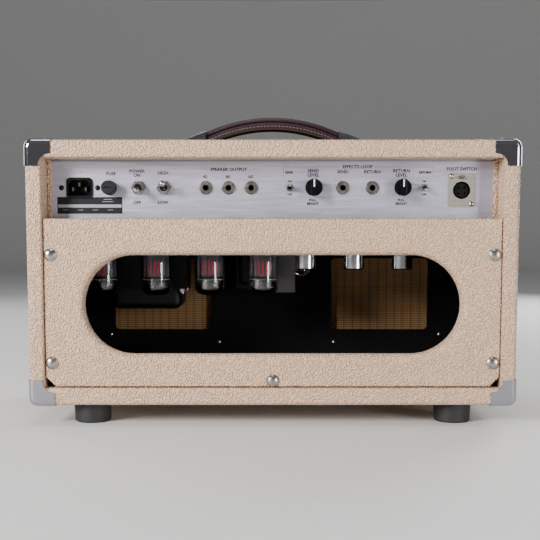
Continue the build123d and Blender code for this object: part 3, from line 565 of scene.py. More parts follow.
@dataclass(frozen=True)
class ClearGlass(Finish):
    """Blown or moulded clear glass."""

    def pattern(self, tree: bpy.types.NodeTree, shader: bpy.types.Node) -> None:
        """Let light through, with a trace of haze."""
        shader.inputs["Transmission Weight"].default_value = 1.0
        haze = add(tree, "ShaderNodeTexNoise", {"Vector": self.place(tree)},
                   {"Scale": per(12.0), "Detail": 2.0})
        rough = add(tree, "ShaderNodeMapRange", {"Value": haze.outputs["Fac"]},
                    {"From Min": 0.3, "From Max": 0.8, "To Min": 0.0, "To Max": 0.05})
        tree.links.new(rough.outputs["Result"], shader.inputs["Roughness"])


# Covering: a soft cream with a broken, low shine.
VINYL = PebbledVinyl("pebbled_cream_vinyl", "#F2CEAF", roughness=0.38, sheen=0.1)
# Lacquer on ply: swallows the light inside the case.
BLACK_PAINT = Moulded("matt_black_lacquered_ply", "#050404", roughness=0.8, specular=0.2,
                      texture=1.6)
# Face plates: a cool, even satin with no clear reflection.
PLATE = SatinPlate("clear_anodised_aluminium_sheet", "#C9C6D6", metallic=0.7, roughness=0.38)
# Polished plate: a clear mirror, slightly bent where it was pressed; its colour is darker than
# real chrome, painted shade for the dark room that it reflects.
CHROME = Plated("chrome_plate_darkened_painted_shade", "#ACACB4", metallic=1.0, roughness=0.07, scuff=0.03,
                wave=0.5)
# Nickel: warmer and softer than chrome, with a grained shell and darker pins.
NICKEL = Plated("nickel_plated_steel", "#B3ADA6", metallic=1.0, roughness=0.27, scuff=0.07)
SATIN_NICKEL = SatinPlate("satin_nickel_shell", "#A7A095", metallic=0.75, roughness=0.42)
DULL_NICKEL = Plated("dull_nickel_pin", "#4A4643", metallic=0.8, roughness=0.42)
# Oxide, mill finish and spun can: dark, flat and ringed metals.
BLACK_OXIDE = Plated("black_oxide_screw", "#1B1B1E", metallic=0.7, roughness=0.35)
MILL = SatinPlate("mill_finish_aluminium", "#9FA0A4", metallic=0.9, roughness=0.5)
CAN = TurnedAluminium("spun_aluminium_can", "#D6D7DB", metallic=1.0, roughness=0.17)
# Plastics: near black, from the matt cap to the glossy knobs.
ABS = Moulded("moulded_black_abs", "#040405", roughness=0.38, specular=0.2, depth=0.02)
CAP_PLASTIC = Moulded("fluted_dark_grey_cap", "#121115", roughness=0.45, specular=0.3,
                      depth=0.02)
PHENOLIC = Moulded("gloss_black_phenolic", "#06060A", roughness=0.14, depth=0.01, coat=0.5)
RUBBER = Moulded("black_moulded_rubber", "#18181A", roughness=0.62, texture=1.2, depth=0.08)
# Strap: dark waxed hide with a matt lining, a pale raw edge and thread; the lining is darker
# than the hide, painted shade under the strap.
LEATHER = StrapLeather("oxblood_strap_leather", "#28131C", roughness=0.4, coat=0.06,
                       specular=0.35)
SUEDE_LINING_PAINTED_SHADE = Moulded("suede_lining_painted_shade", "#150B0D", roughness=0.95, specular=0.02)
RAW_EDGE = Moulded("burnished_raw_leather_edge", "#3C291B", roughness=0.7, specular=0.2)
THREAD = Moulded("waxed_linen_thread", "#7C6C5C", roughness=0.7)
# Front: wheat cloth with dark stripes and painted shade between its threads, edged with a pale
# twisted cord with painted shade between its twists.
CLOTH = WovenCloth("wheat_weave_grille_cloth", "#A1794A", roughness=0.75, sheen=0.2)
PIPING = WovenCloth("cream_twisted_piping", "#E2D7BE", roughness=0.7, pitch=3.0,
                    band=3.0, stripe="#A99A7C")
# Valves: clear glass, a mirror film that breaks up at its edge, dark plates; the film is painted
# near black, painted shade for the dark that the mirror reflects.
GLASS = ClearGlass("clear_valve_glass", "#F4F6F7", roughness=0.0, ior=1.47)
GETTER = Plated("getter_mirror_painted_near_black", "#0A0909", metallic=0.6, roughness=0.2)
FLASH = Speckled("getter_flash_edge", "#100E11", metallic=0.7, roughness=0.3)
ANODE = Moulded("carbonised_nickel_anode", "#5F5D66", metallic=0.5, roughness=0.42)
MICA = Moulded("split_mica_disc", "#C9C7C0", roughness=0.35, texture=0.6, coat=0.5)
# Under the chassis: pale glaze, black enamel, grey paint, dark stampings.
CERAMIC = Moulded("glazed_ceramic_socket", "#CFCBC0", roughness=0.35)
ENAMEL = Moulded("black_stoved_enamel", "#050507", roughness=0.5, depth=0.03, specular=0.3)
BRACKET = Moulded("painted_grey_steel_channel", "#453F42", metallic=0.3, roughness=0.5)
SLEEVE = Moulded("blue_capacitor_sleeve", "#1F3A6B", roughness=0.35)
CORE = Laminations("varnished_steel_laminations", "#121113", metallic=0.4, roughness=0.45)
# Inks: flat on the panels and label, glossy where fired on glass.
INK = Moulded("dark_panel_ink", "#09090D", roughness=0.7, specular=0.2)
GREY_INK = Moulded("pale_grey_label_ink", "#9A989E", roughness=0.5)
LABEL = Moulded("dark_printed_label", "#17161B", roughness=0.6, specular=0.25)
WHITE_INK = Moulded("white_filled_line", "#E6E5E2", roughness=0.5)
RED_INK = Moulded("red_fired_glass_ink", "#B0162B", roughness=0.3, coat=0.5)
# Lamp, board and floor: a glossy amber jewel, dull green, plain pale grey.
LAMP = Moulded("amber_lamp_jewel", "#C8560E", roughness=0.12, coat=0.6)
LAMINATE = Moulded("glass_fibre_board", "#3D4A30", roughness=0.5)
FLOOR = Moulded("pale_studio_floor", "#D9D8D6", roughness=0.7, texture=30.0, depth=0.0)


def dress(finish: Finish, *nodes: str) -> None:
    """Give CAD nodes a finish, leaving their shape alone."""
    for node in nodes:
        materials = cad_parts[node].data.materials
        materials.clear()
        materials.append(finish.material())
        LOG.info("dressed %s in %s", node, finish.name)


def dress_part(node: str, finish: Finish, inside: Callable[[Vector], bool]) -> None:
    """Give part of a CAD node a second finish.

    Args:
        node: The CAD node's name.
        finish: The finish of the part.
        inside: Tells whether a point on the surface belongs to the part.
    """
    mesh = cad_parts[node].data
    mesh.materials.append(finish.material())
    index = len(mesh.materials) - 1
    for polygon in mesh.polygons:
        if inside(polygon.center):
            polygon.material_index = index
    LOG.info("dressed part of %s in %s", node, finish.name)


def piece(name: str, bm: bmesh.types.BMesh, finish: Finish, body: str = CASE,
          replaces: Iterable[str] = (), sharp: float = 38.0
          ) -> bpy.types.Object:
    """Turn a bmesh into a finished piece that rides on a body.

    Args:
        name: The piece's name.
        bm: Its shape, in place, which is freed.
        finish: Its finish.
        body: The CAD body that it moves with.
        replaces: CAD nodes that it stands in for.
        sharp: Edges that turn more than this many degrees stay sharp.

    Returns:
        The new object.
    """
    mesh = bpy.data.meshes.new(name)
    bm.to_mesh(mesh)
    bm.free()
    made = bpy.data.objects.new(name, mesh)
    bpy.context.scene.collection.objects.link(made)
    mesh.materials.append(finish.material())
    mesh.shade_smooth()
    mesh.set_sharp_from_angle(angle=math.radians(sharp))
    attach(made, body)
    nodes = list(replaces)
    if nodes:
        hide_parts(*nodes)
    LOG.info("made %s, %d faces", name, len(mesh.polygons))
    return made


# ---------------------------------------------------------------- sub-assemblies


@dataclass
class Case:
    """The covered boards, the back panel and the black lining inside."""

    lining: float = 0.4 * MM
    gap: float = 0.1 * MM
    cleat: float = 16.0 * MM
    strip_depth: float = 30.0 * MM
    strip_edge: float = 0.8 * MM

    def build(self) -> None:
        """Line the inside of the case and pack out the sides of both recesses."""
        self.line_inside()
        self.pack_recess("rear_recess_strips", "rear_face_plate", 1)
        self.pack_recess("front_recess_strips", "front_face_plate", -1)

    def pack_recess(self, name: str, plate: str, sign: int) -> None:
        """Fill the gap at each end of a face plate with a covered wooden strip.

        Args:
            name: The piece's name.
            plate: The face plate's CAD node.
            sign: 1 at the back of the case, -1 at the front.
        """
        low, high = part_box(plate)
        face = high.y if sign > 0 else low.y
        ys = sorted((face + sign * self.strip_edge, face - sign * self.strip_depth))
        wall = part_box("cabinet_right_side")[0].x
        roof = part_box("cabinet_top_board")[0].z
        bm = bmesh.new()
        for side in (-1, 1):
            xs = sorted((side * (high.x + self.gap), side * (wall - self.gap)))
            bar(bm, Vector((xs[0], ys[0], low.z)), Vector((xs[1], ys[1], roof - self.gap)),
                self.strip_edge)
        piece(name, bm, VINYL)

    def line_inside(self) -> None:
        """Line the inside of the case in black, between the cleats and under the chassis."""
        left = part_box("cabinet_left_side")[1].x + self.gap
        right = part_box("cabinet_right_side")[0].x - self.gap
        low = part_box("cabinet_left_side")[0].z + self.gap
        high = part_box("chassis_pan")[0].z - self.cleat / 4
        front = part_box("front_baffle")[1].y + self.gap
        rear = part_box("panel_cleats")[1].y - self.cleat - self.gap
        behind = front + self.cleat + self.gap
        inset = self.cleat + self.gap
        t = self.lining
        bm = bmesh.new()
        bar(bm, Vector((left, behind, low)), Vector((left + t, rear, high)), t / 4, 1)
        bar(bm, Vector((right - t, behind, low)), Vector((right, rear, high)), t / 4, 1)
        bar(bm, Vector((left + t, behind, low)), Vector((right - t, rear, low + t)), t / 4, 1)
        bar(bm, Vector((left + inset, front, low)), Vector((right - inset, behind, low + t)),
            t / 4, 1)
        piece("inner_lining", bm, BLACK_PAINT)

    def dress(self) -> None:
        """Cover the boards in vinyl and blacken the cleats."""
        dress(VINYL, "cabinet_top_board", "cabinet_bottom_board", "cabinet_left_side",
              "cabinet_right_side", "back_panel")
        dress(BLACK_PAINT, "panel_cleats", "front_baffle")


@dataclass
class Hardware:
    """Corners, screws, washers and feet."""

    def dress(self) -> None:
        """Plate the metal and blacken the rubber."""
        dress(CHROME, "corner_protectors", "handle_end_caps")
        dress(NICKEL, "panel_screws", "cup_washers", "corner_screws", "machine_bolts",
              "foot_screws")
        dress(RUBBER, "rubber_feet")


@dataclass
class Handle:
    """A leather strap with a padded back, a stitched flange and a raw edge."""

    stitch: float = 3.0 * MM
    stitch_pitch: float = 4.2 * MM
    thread: float = 0.45 * MM
    half_angle: float = 28.3
    arch: float = 187.0 * MM
    thick: float = 14.6 * MM

    def build(self) -> None:
        """Sweep the strap's section along its arch and sew it."""
        low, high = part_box("handle_strap")
        centre = high.z - self.arch
        half = (high.y - low.y) / 2
        base = self.arch - self.thick
        self.sweep("handle_leather", self.section(half), base, centre, LEATHER,
                   ("handle_strap",))
        self.sweep("handle_raw_edge", self.flat_loop(half - 0.45 * MM, 0.5 * MM, 1.6 * MM),
                   base, centre, RAW_EDGE)
        # The lining under the strap is darker than the leather: painted shade on the underside.
        self.sweep("handle_lining", self.flat_loop(half - MM, 0.0, 0.5 * MM), base, centre,
                   SUEDE_LINING_PAINTED_SHADE)
        self.sew(base, centre, half)

    def flat_loop(self, edge: float, low: float, high: float) -> list[tuple[float, float]]:
        """Give a flat layer's section between two heights, as offsets across and up."""
        return [(-edge, low), (edge, low), (edge, high), (-edge, high)]

    def section(self, half: float) -> list[tuple[float, float]]:
        """Give the leather's section, as offsets across and up from the under layer."""
        right = [(half - 1.1 * MM, 0.5 * MM), (half - 0.9 * MM, 1.7 * MM),
                 (half, 1.8 * MM), (half, 3.0 * MM),
                 (half - 0.8 * MM, 6.4 * MM), (half - 0.7 * MM, 7.2 * MM),
                 (half - 1.4 * MM, 8.3 * MM), (half - 3.0 * MM, 8.9 * MM),
                 (half - 1.9 * MM, 9.6 * MM)]
        crown = arc((half - 6.2 * MM, self.thick - 4.9 * MM), 4.9 * MM, 10, 90, 6)
        side = right + crown
        return side + [(-y, z) for y, z in reversed(side)]

    def sweep(self, name: str, section: Sequence[tuple[float, float]], base_r: float,
              centre: float, finish: Finish, nodes: Iterable[str] = ()) -> None:
        """Spin a closed section along the arch.

        Args:
            name: The piece's name.
            section: Offsets across the strap and up from its underside.
            base_r: The underside's radius.
            centre: The height of the arch's centre.
            finish: The piece's finish.
            nodes: CAD nodes that the piece stands in for.
        """
        bm = bmesh.new()
        verts = [bm.verts.new((0, y, centre + base_r + z)) for y, z in section]
        face = bm.faces.new(verts)
        start = Matrix.Rotation(math.radians(-self.half_angle), 4, "Y")
        pivot = Matrix.Translation((0, 0, centre))
        bmesh.ops.transform(bm, matrix=pivot @ start @ pivot.inverted(), verts=verts)
        bmesh.ops.spin(bm, geom=[face] + verts + list(face.edges), cent=(0, 0, centre),
                       axis=(0, 1, 0), angle=math.radians(2 * self.half_angle), steps=64)
        bmesh.ops.remove_doubles(bm, verts=bm.verts, dist=0.001 * MM)
        bmesh.ops.recalc_face_normals(bm, faces=bm.faces)
        piece(name, bm, finish, replaces=nodes)

    def sew(self, base_r: float, centre: float, half: float) -> None:
        """Run a row of stitches along each side of the strap."""
        radius = base_r + 4.4 * MM
        count = int(2 * math.radians(self.half_angle - 1.5) * radius / self.stitch_pitch)
        bm = bmesh.new()
        for side in (-1, 1):
            for i in range(count):
                turn = (i + 0.5) / count - 0.5
                angle = turn * 2 * math.radians(self.half_angle - 1.5)
                made = bmesh.new()
                bmesh.ops.create_uvsphere(made, u_segments=8, v_segments=6, radius=1.0)
                bmesh.ops.scale(made, vec=(self.stitch / 2, self.thread, self.thread),
                                verts=made.verts)
                out = side * (half - 0.5 * MM + self.thread * 0.3)
                place = (Matrix.Translation((0, out, centre)) @ Matrix.Rotation(angle, 4, "Y")
                         @ Matrix.Translation((0, 0, radius)))
                bmesh.ops.transform(made, matrix=place, verts=made.verts)
                pour(made, bm)
        piece("handle_stitches", bm, THREAD)


@dataclass
class Grille:
    """The woven cloth stretched over the front board, and the piping round it."""

    cells: tuple[int, int] = (98, 36)

    def build(self) -> None:
        """Stretch the cloth."""
        low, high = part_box("grille_cloth")
        width = high.x - low.x
        height = high.z - low.z
        bm = bmesh.new()
        bmesh.ops.create_grid(bm, x_segments=self.cells[0], y_segments=self.cells[1], size=0.5)
        turn = Matrix.Rotation(math.radians(90), 4, "X")
        bmesh.ops.scale(bm, vec=(width, height, 1), verts=bm.verts)
        at = Vector(((low.x + high.x) / 2, (low.y + high.y) / 2, (low.z + high.z) / 2))
        bmesh.ops.transform(bm, matrix=Matrix.Translation(at) @ turn, verts=bm.verts)
        cloth = piece("grille_weave", bm, CLOTH,
                      replaces=("grille_cloth",))

    def dress(self) -> None:
        """Twist the piping."""
        dress(PIPING, "grille_piping")


@dataclass
class Legend:
    """One line of panel lettering.

    Attributes:
        text: The generic word or number.
        right: Its anchor, right of the panel's middle as it is read, in millimetres.
        up: Its middle's height above the floor, in millimetres.
        size: Its capitals' height in millimetres.
    """

    text: str
    right: float
    up: float
    size: float = 2.9


@dataclass
class Panel:
    """A face plate with generic lettering and rules printed on it."""

    face: Face
    node: str
    name: str
    legends: list[Legend] = field(default_factory=list)
    rules: list[tuple[float, float, float, float]] = field(default_factory=list)
    lift: float = 0.03 * MM
    thickness: float = 0.05 * MM
    cap_share: float = 0.6
    spacing: float = 1.03
    weight: float = 0.17 * MM

    def surface(self) -> float:
        """Give the plate's outer face as a Y."""
        low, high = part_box(self.node)
        return high.y if self.face is Face.REAR else low.y

    def build(self) -> None:
        """Print every legend and rule."""
        bm = bmesh.new()
        for legend in self.legends:
            self.print_line(bm, legend)
        for x0, z0, x1, z1 in self.rules:
            self.rule(bm, x0, z0, x1, z1)
        piece(self.name, bm, INK)

    def print_line(self, bm: bmesh.types.BMesh, legend: Legend) -> None:
        """Print one line of lettering."""
        curve = bpy.data.curves.new("legend", "FONT")
        curve.body = legend.text
        curve.size = legend.size * MM / self.cap_share
        curve.align_x = "CENTER"
        curve.align_y = "CENTER"
        curve.extrude = self.thickness / 2
        curve.resolution_u = 2
        curve.offset = self.weight
        curve.space_character = self.spacing
        holder = bpy.data.objects.new("legend", curve)
        mesh = bpy.data.meshes.new_from_object(holder)
        at = Vector((-self.face.value * legend.right * MM,
                     self.surface() + self.face.value * (self.lift + self.thickness / 2),
                     legend.up * MM))
        mesh.transform(panel_matrix(self.face, at))
        bm.from_mesh(mesh)
        bpy.data.objects.remove(holder)
        bpy.data.curves.remove(curve)
        bpy.data.meshes.remove(mesh)

    def rule(self, bm: bmesh.types.BMesh, x0: float, z0: float, x1: float, z1: float) -> None:
        """Print a thin box between two corners given in millimetres on the panel."""
        surface = self.surface()
        sign = self.face.value
        xs = sorted((-sign * x0 * MM, -sign * x1 * MM))
        ys = sorted((surface + sign * self.lift, surface + sign * (self.lift + self.thickness)))
        bar(bm, Vector((xs[0], ys[0], z0 * MM)), Vector((xs[1], ys[1], z1 * MM)),
            self.thickness / 5, 1)


def rear_panel() -> Panel:
    """Give the rear panel with its lettering."""
    legends = [
        Legend("FUSE", -178.6, 276.0), Legend("POWER", -149.8, 278.6),
        Legend("ON", -149.9, 274.2), Legend("OFF", -150.0, 244.1),
        Legend("HIGH", -121.1, 276.6), Legend("LOW", -121.4, 244.3),
        Legend("SPEAKER OUTPUT", -48.5, 280.5), Legend("4\u03a9", -74.6, 272.6, 2.2),
        Legend("8\u03a9", -49.2, 272.6, 2.2), Legend("16\u03a9", -24.6, 272.6, 2.2),
        Legend("EFFECTS LOOP", 93.8, 283.4), Legend("SEND", 18.4, 277.2, 2.1),
        Legend("ON", 19.0, 267.6, 1.7), Legend("OFF", 19.0, 253.2, 1.7),
        Legend("SEND", 45.0, 279.0), Legend("LEVEL", 45.0, 274.4),
        Legend("PULL", 44.6, 246.9, 2.2), Legend("BRIGHT", 44.6, 243.0, 2.2),
        Legend("SEND", 77.4, 277.9), Legend("RETURN", 110.2, 277.9),
        Legend("RETURN", 142.4, 279.0), Legend("LEVEL", 142.4, 274.4),
        Legend("PULL", 142.6, 246.9, 2.2), Legend("BRIGHT", 142.6, 243.0, 2.2),
        Legend("RETURN", 168.6, 277.2, 2.1), Legend("ON", 167.8, 267.6, 1.7),
        Legend("OFF", 167.8, 253.2, 1.7), Legend("FOOT SWITCH", 209.0, 281.0)]
    rules = [(11.8, 283.2, 74.0, 283.5), (113.0, 283.2, 177.7, 283.5),
             (11.8, 272.0, 12.1, 283.5), (177.4, 272.0, 177.7, 283.5)]
    return Panel(Face.REAR, "rear_face_plate", "rear_panel_printing", legends, rules)


@dataclass
class RatingLabel:
    """A plain dark label under the mains inlet, with blank bars in place of wording."""

    low: tuple[float, float] = (-238.5, 232.0)
    high: tuple[float, float] = (-166.4, 250.4)

    def build(self, panel: Panel) -> None:
        """Lay the label and its blank bars.

        Args:
            panel: The rear panel that it is stuck to.
        """
        bm = bmesh.new()
        panel.rule(bm, self.low[0], self.low[1], self.high[0], self.high[1])
        piece("rating_label", bm, LABEL)
        raised = Panel(panel.face, panel.node, panel.name, lift=panel.lift + 0.06 * MM)
        bars = bmesh.new()
        raised.rule(bars, self.low[0] + 1.0, 238.8, self.high[0] - 1.0, 242.2)
        for i in range(4):
            x = self.low[0] + 9.0 + 16.6 * i
            raised.rule(bars, x - 3.0, 236.0, x + 3.0, 236.5)
        raised.rule(bars, -187.0, 247.6, -178.0, 248.2)
        raised.rule(bars, -188.6, 245.0, -176.4, 245.6)
        piece("rating_label_bars", bars, GREY_INK)


def front_panel() -> Panel:
    """Give the front panel with its lettering."""
    below = 19.0
    dial = 15.2
    legends = []
    for knob in FRONT_KNOBS:
        at = middle(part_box(knob + "_knob"))
        legends.append(Legend(knob.upper(), at.x / MM, at.z / MM - below))
        for i in range(11):
            turn = math.radians(240 - 30 * i)
            legends.append(Legend(str(i), at.x / MM + dial * math.cos(turn),
                                  at.z / MM + dial * math.sin(turn), 2.0))
    jacks = [box for box in solids("jack_sockets") if middle(box).y < 0]
    for number, box in enumerate(jacks, start=1):
        at = middle(box)
        legends.append(Legend("INPUT " + str(number), at.x / MM, at.z / MM - below))
    for toggle in ("bright", "standby"):
        at = middle(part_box(toggle + "_toggle_lever"))
        legends.append(Legend(toggle.upper(), at.x / MM, 239.0))
    return Panel(Face.FRONT, "front_face_plate", "front_panel_printing", legends)


@dataclass
class Controls:
    """Knob pointer lines and the finishes of everything on the panels."""

    line_width: float = 1.5 * MM
    line_length: float = 8.0 * MM
    bore: float = 3.2 * MM
    bore_depth: float = 24.0 * MM
    bore_wall: float = 0.25 * MM
    bore_floor: float = 0.4 * MM
    bore_mouth: float = 1.2 * MM
    step: float = 1.6 * MM
    jewel: float = 6.45 * MM
    fuse_end: float = 7.05 * MM
    board_top: float = 13.6 * MM
    barrel: float = 12.1 * MM

    def build(self) -> None:
        """Fill a white line into each knob's bar."""
        for name in REAR_KNOBS:
            self.pointer(name, Face.REAR)
        for name in FRONT_KNOBS:
            self.pointer(name + "_knob", Face.FRONT)
        self.jack_liners()

    def jack_liners(self) -> None:
        """Line each jack's bore with its black nylon tube."""
        bm = bmesh.new()
        for low, high in solids("jack_sockets"):
            at = (low + high) / 2
            rear = at.y > 0
            mouth = high.y if rear else low.y
            out = Vector((0, 1 if rear else -1, 0))
            r = self.bore
            inner = r - self.bore_wall
            end = self.bore_floor - self.bore_depth
            outline = [(r, -self.bore_mouth), (r, -self.bore_depth), (0, -self.bore_depth),
                       (0, end), (inner, end), (inner, -self.bore_mouth),
                       (r, -self.bore_mouth)]
            lathe(bm, outline, Vector((at.x, mouth, at.z)), 24, out)
        piece("jack_liners", bm, ABS)

    def pointer(self, node: str, face: Face) -> None:
        """Fill the white line of one knob.

        Args:
            node: The knob's CAD node.
            face: The panel it is on.
        """
        low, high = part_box(node)
        at = (low + high) / 2
        top = high.y if face is Face.REAR else low.y
        bm = bmesh.new()
        ys = sorted((top - face.value * 0.1 * MM, top + face.value * 0.08 * MM))
        edge = high.z - 0.9 * MM
        bar(bm, Vector((at.x - self.line_width / 2, ys[0], edge - self.line_length)),
            Vector((at.x + self.line_width / 2, ys[1], edge)), 0.04 * MM, 1)
        piece(node + "_line", bm, WHITE_INK, body=node)

    def dress(self) -> None:
        """Finish the sockets, switches, nuts and knobs."""
        dress(PLATE, "rear_face_plate", "front_face_plate")
        dress(MILL, "chassis_pan")
        dress(ABS, "power_inlet", "fuse_holder", "footswitch_insert")
        dress(CAP_PLASTIC, "fuse_cap")
        dress(BLACK_OXIDE, "socket_screws")
        dress(NICKEL, "panel_nuts", "toggle_switch_bodies", "jack_sockets", "potentiometers",
              "footswitch_latch", "send_pull_collar", "return_pull_collar", "pilot_lamp")
        dress(SATIN_NICKEL, "footswitch_socket")
        dress(DULL_NICKEL, "power_inlet_pins")
        dress(CHROME, *(name + "_toggle_lever" for name in TOGGLES))
        dress(PHENOLIC, *REAR_KNOBS, *(name + "_knob" for name in FRONT_KNOBS))
        dress(LAMINATE, "circuit_board")
        dress(GLASS, "fuse_link")
        self.dress_parts()

    def dress_parts(self) -> None:
        """Finish the second material of the pieces that have two."""
        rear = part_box("rear_face_plate")
        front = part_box("front_face_plate")
        behind_rear = rear[0].y - self.step
        behind_front = front[1].y + self.step
        for node in ("jack_sockets", "toggle_switch_bodies"):
            dress_part(node, ABS, lambda at: behind_front < at.y < behind_rear)
        lamp = middle(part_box("pilot_lamp"))
        dress_part("pilot_lamp", LAMP, lambda at: at.y < front[0].y - 0.5 * MM
                   and math.hypot(at.x - lamp.x, at.z - lamp.z) < self.jewel)
        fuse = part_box("fuse_link")
        dress_part("fuse_link", NICKEL, lambda at: at.y < fuse[0].y + self.fuse_end
                   or at.y > fuse[1].y - self.fuse_end)
        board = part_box("chassis_pan")[0].z + self.board_top
        dress_part("circuit_board", SLEEVE, lambda at: at.z > board)
        dress_part("socket_screws", NICKEL, lambda at: at.x < 0)
        socket = middle(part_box("footswitch_insert"))
        dress_part("footswitch_socket", ABS, lambda at: at.y < rear[1].y + 0.4 * MM
                   and math.hypot(at.x - socket.x, at.z - socket.z) < self.barrel)


@dataclass
class Valves:
    """Power valves with their getters, anodes and micas, and the small valves."""

    wall: float = 0.9 * MM
    anode_foot: float = 21.0 * MM
    anode_height: float = 36.0 * MM
    anode_half: tuple[float, float] = (11.5 * MM, 7.0 * MM)
    fin_out: float = 13.0 * MM
    rib_out: float = 4.5 * MM
    rod_out: float = 9.0 * MM
    rod_length: float = 48.0 * MM
    bowl: float = 9.0 * MM
    shoulder: float = 6.0 * MM
    flash_height: float = 6.0 * MM
    mark_level: float = 33.0 * MM
    mark_height: float = 19.0 * MM
    mark_taper: float = 2.5 * MM
    mark_pitch: float = 4.3 * MM
    mark_line: float = 1.3 * MM

    def build(self) -> None:
        """Make each power valve's glass and its inside."""
        glass = bmesh.new()
        film = bmesh.new()
        flashes = bmesh.new()
        anodes = bmesh.new()
        micas = bmesh.new()
        marks = bmesh.new()
        for low, high in solids("power_valve_glass"):
            at = Vector(((low.x + high.x) / 2, (low.y + high.y) / 2, 0))
            radius = (high.x - low.x) / 2
            self.envelope(glass, at, radius, low.z, high.z)
            film_r = radius - self.wall - 0.15 * MM
            self.getter(film, at, film_r, low.z + self.wall + 0.15 * MM)
            self.flash(flashes, at, film_r, low.z + self.wall + 0.15 * MM)
            self.inside(anodes, micas, at, radius, low.z)
            self.mark(marks, at, radius, low.z + self.mark_level)
        piece("power_valve_envelopes", glass, GLASS,
              replaces=("power_valve_glass",))
        piece("power_valve_getters", film, GETTER)
        piece("power_valve_flashes", flashes, FLASH)
        piece("power_valve_plates", anodes, ANODE,
              replaces=("power_valve_anodes",))
        piece("power_valve_micas", micas, MICA)
        piece("power_valve_marks", marks, RED_INK)

    def crown(self, radius: float, tip: float) -> list[tuple[float, float]]:
        """Give a bulb's closed end: a tight shoulder that runs into a shallow bowl."""
        bowl = self.bowl
        shoulder = self.shoulder
        rim = arc((radius - shoulder, tip + bowl), shoulder, 0, -52, 5)
        last_r, last_z = rim[-1]
        steps = range(1, 9)
        cup = [(last_r * math.cos(math.pi / 2 * i / 8),
                tip + (last_z - tip) * (1 - math.sin(math.pi / 2 * i / 8))) for i in steps]
        return rim + cup

    def envelope(self, bm: bmesh.types.BMesh, at: Vector, radius: float, tip: float,
                 top: float) -> None:
        """Blow one bulb as a closed wall with an inner and an outer skin."""
        inner = radius - self.wall
        outline = [(radius * 0.76, top), (radius * 0.93, top - 4 * MM), (radius, top - 9 * MM)]
        outline += self.crown(radius, tip)
        outline += self.crown(inner, tip + self.wall)[::-1]
        outline += [(inner, top - 9.4 * MM), (inner * 0.93, top - 4.2 * MM),
                    (radius * 0.70, top), (radius * 0.76, top)]
        lathe(bm, outline, at, 56)

    def getter(self, bm: bmesh.types.BMesh, at: Vector, radius: float, tip: float) -> None:
        """Flash the getter's mirror over the inside of the crown."""
        outline = self.crown(radius, tip)[::-1] + self.crown(radius - 0.12 * MM, tip + 0.12 * MM)
        lathe(bm, outline + outline[:1], at, 56)

    def flash(self, bm: bmesh.types.BMesh, at: Vector, radius: float, tip: float) -> None:
        """Speckle the flash's ragged edge up the wall above the crown."""
        low = tip + self.bowl
        high = low + self.flash_height
        skin = radius - 0.1 * MM
        lathe(bm, [(radius, low), (radius, high), (skin, high), (skin, low), (radius, low)],
              at, 56)

    def inside(self, anodes: bmesh.types.BMesh, micas: bmesh.types.BMesh, at: Vector,
               radius: float, tip: float) -> None:
        """Stand the anode box, its fins, its rods and the mica discs in one bulb."""
        low = tip + self.anode_foot
        high = low + self.anode_height
        half = Vector((*self.anode_half, 0))
        bar(anodes, Vector((at.x - half.x, at.y - half.y, low)),
            Vector((at.x + half.x, at.y + half.y, high)), 3.0 * MM, 4)
        for side in (-1, 1):
            fin = at.x + side * self.fin_out
            bar(anodes, Vector((fin - 1.8 * MM, at.y - 0.5 * MM, low + MM)),
                Vector((fin + 1.8 * MM, at.y + 0.5 * MM, high - MM)), 0.2 * MM, 2)
            for rib in (-1, 1):
                y = at.y + rib * (half.y + 0.3 * MM)
                x = at.x + side * self.rib_out
                bar(anodes, Vector((x - 0.6 * MM, y - 0.6 * MM, low + MM)),
                    Vector((x + 0.6 * MM, y + 0.6 * MM, high - MM)), 0.3 * MM, 2)
            rod = Vector((at.x + side * self.rod_out, at.y, low - 5 * MM))
            lathe(anodes, [(0, 0), (0.7 * MM, 0), (0.7 * MM, self.rod_length),
                           (0, self.rod_length)], rod, 10)
        disc = radius - self.wall - 1.0 * MM
        for level in (low - 2.2 * MM, high + 1.2 * MM):
            self.mica(micas, Vector((at.x, at.y, level)), disc)

    def mica(self, bm: bmesh.types.BMesh, at: Vector, radius: float) -> None:
        """Cut one mica disc with points round its edge that touch the glass."""
        made = bmesh.new()
        bmesh.ops.create_circle(made, cap_ends=True, radius=radius, segments=32)
        for i, vert in enumerate(made.verts):
            vert.co *= 1.0 if i % 2 else 0.9
        extruded = bmesh.ops.extrude_face_region(made, geom=made.faces[:])
        moved = [e for e in extruded["geom"] if isinstance(e, bmesh.types.BMVert)]
        bmesh.ops.translate(made, vec=(0, 0, 0.5 * MM), verts=moved)
        bmesh.ops.translate(made, vec=at, verts=made.verts)
        bmesh.ops.recalc_face_normals(made, faces=made.faces)
        pour(made, bm)

    def mark(self, bm: bmesh.types.BMesh, at: Vector, radius: float, level: float) -> None:
        """Fire a plain row of bars on the bulb's rear."""
        made = bmesh.new()
        for step in range(-2, 3):
            height = self.mark_height - abs(step) * self.mark_taper
            bmesh.ops.create_grid(
                made, x_segments=1, y_segments=8, size=0.5,
                matrix=Matrix.Translation((step * self.mark_pitch, 0, 0))
                @ Matrix.Diagonal((self.mark_line, height, 1.0, 1.0)))
        skin = radius + 0.05 * MM
        for vert in made.verts:
            turn = vert.co.x / skin
            vert.co = Vector((at.x - skin * math.sin(turn), at.y + skin * math.cos(turn),
                              level + vert.co.y))
        pour(made, bm)

    def dress(self) -> None:
        """Finish the bases, sockets, small valves and shields."""
        dress(PHENOLIC, "power_valve_bases")
        dress(CERAMIC, "valve_sockets")
        dress(GLASS, "preamp_valves")
        dress(CAN, "valve_shields")


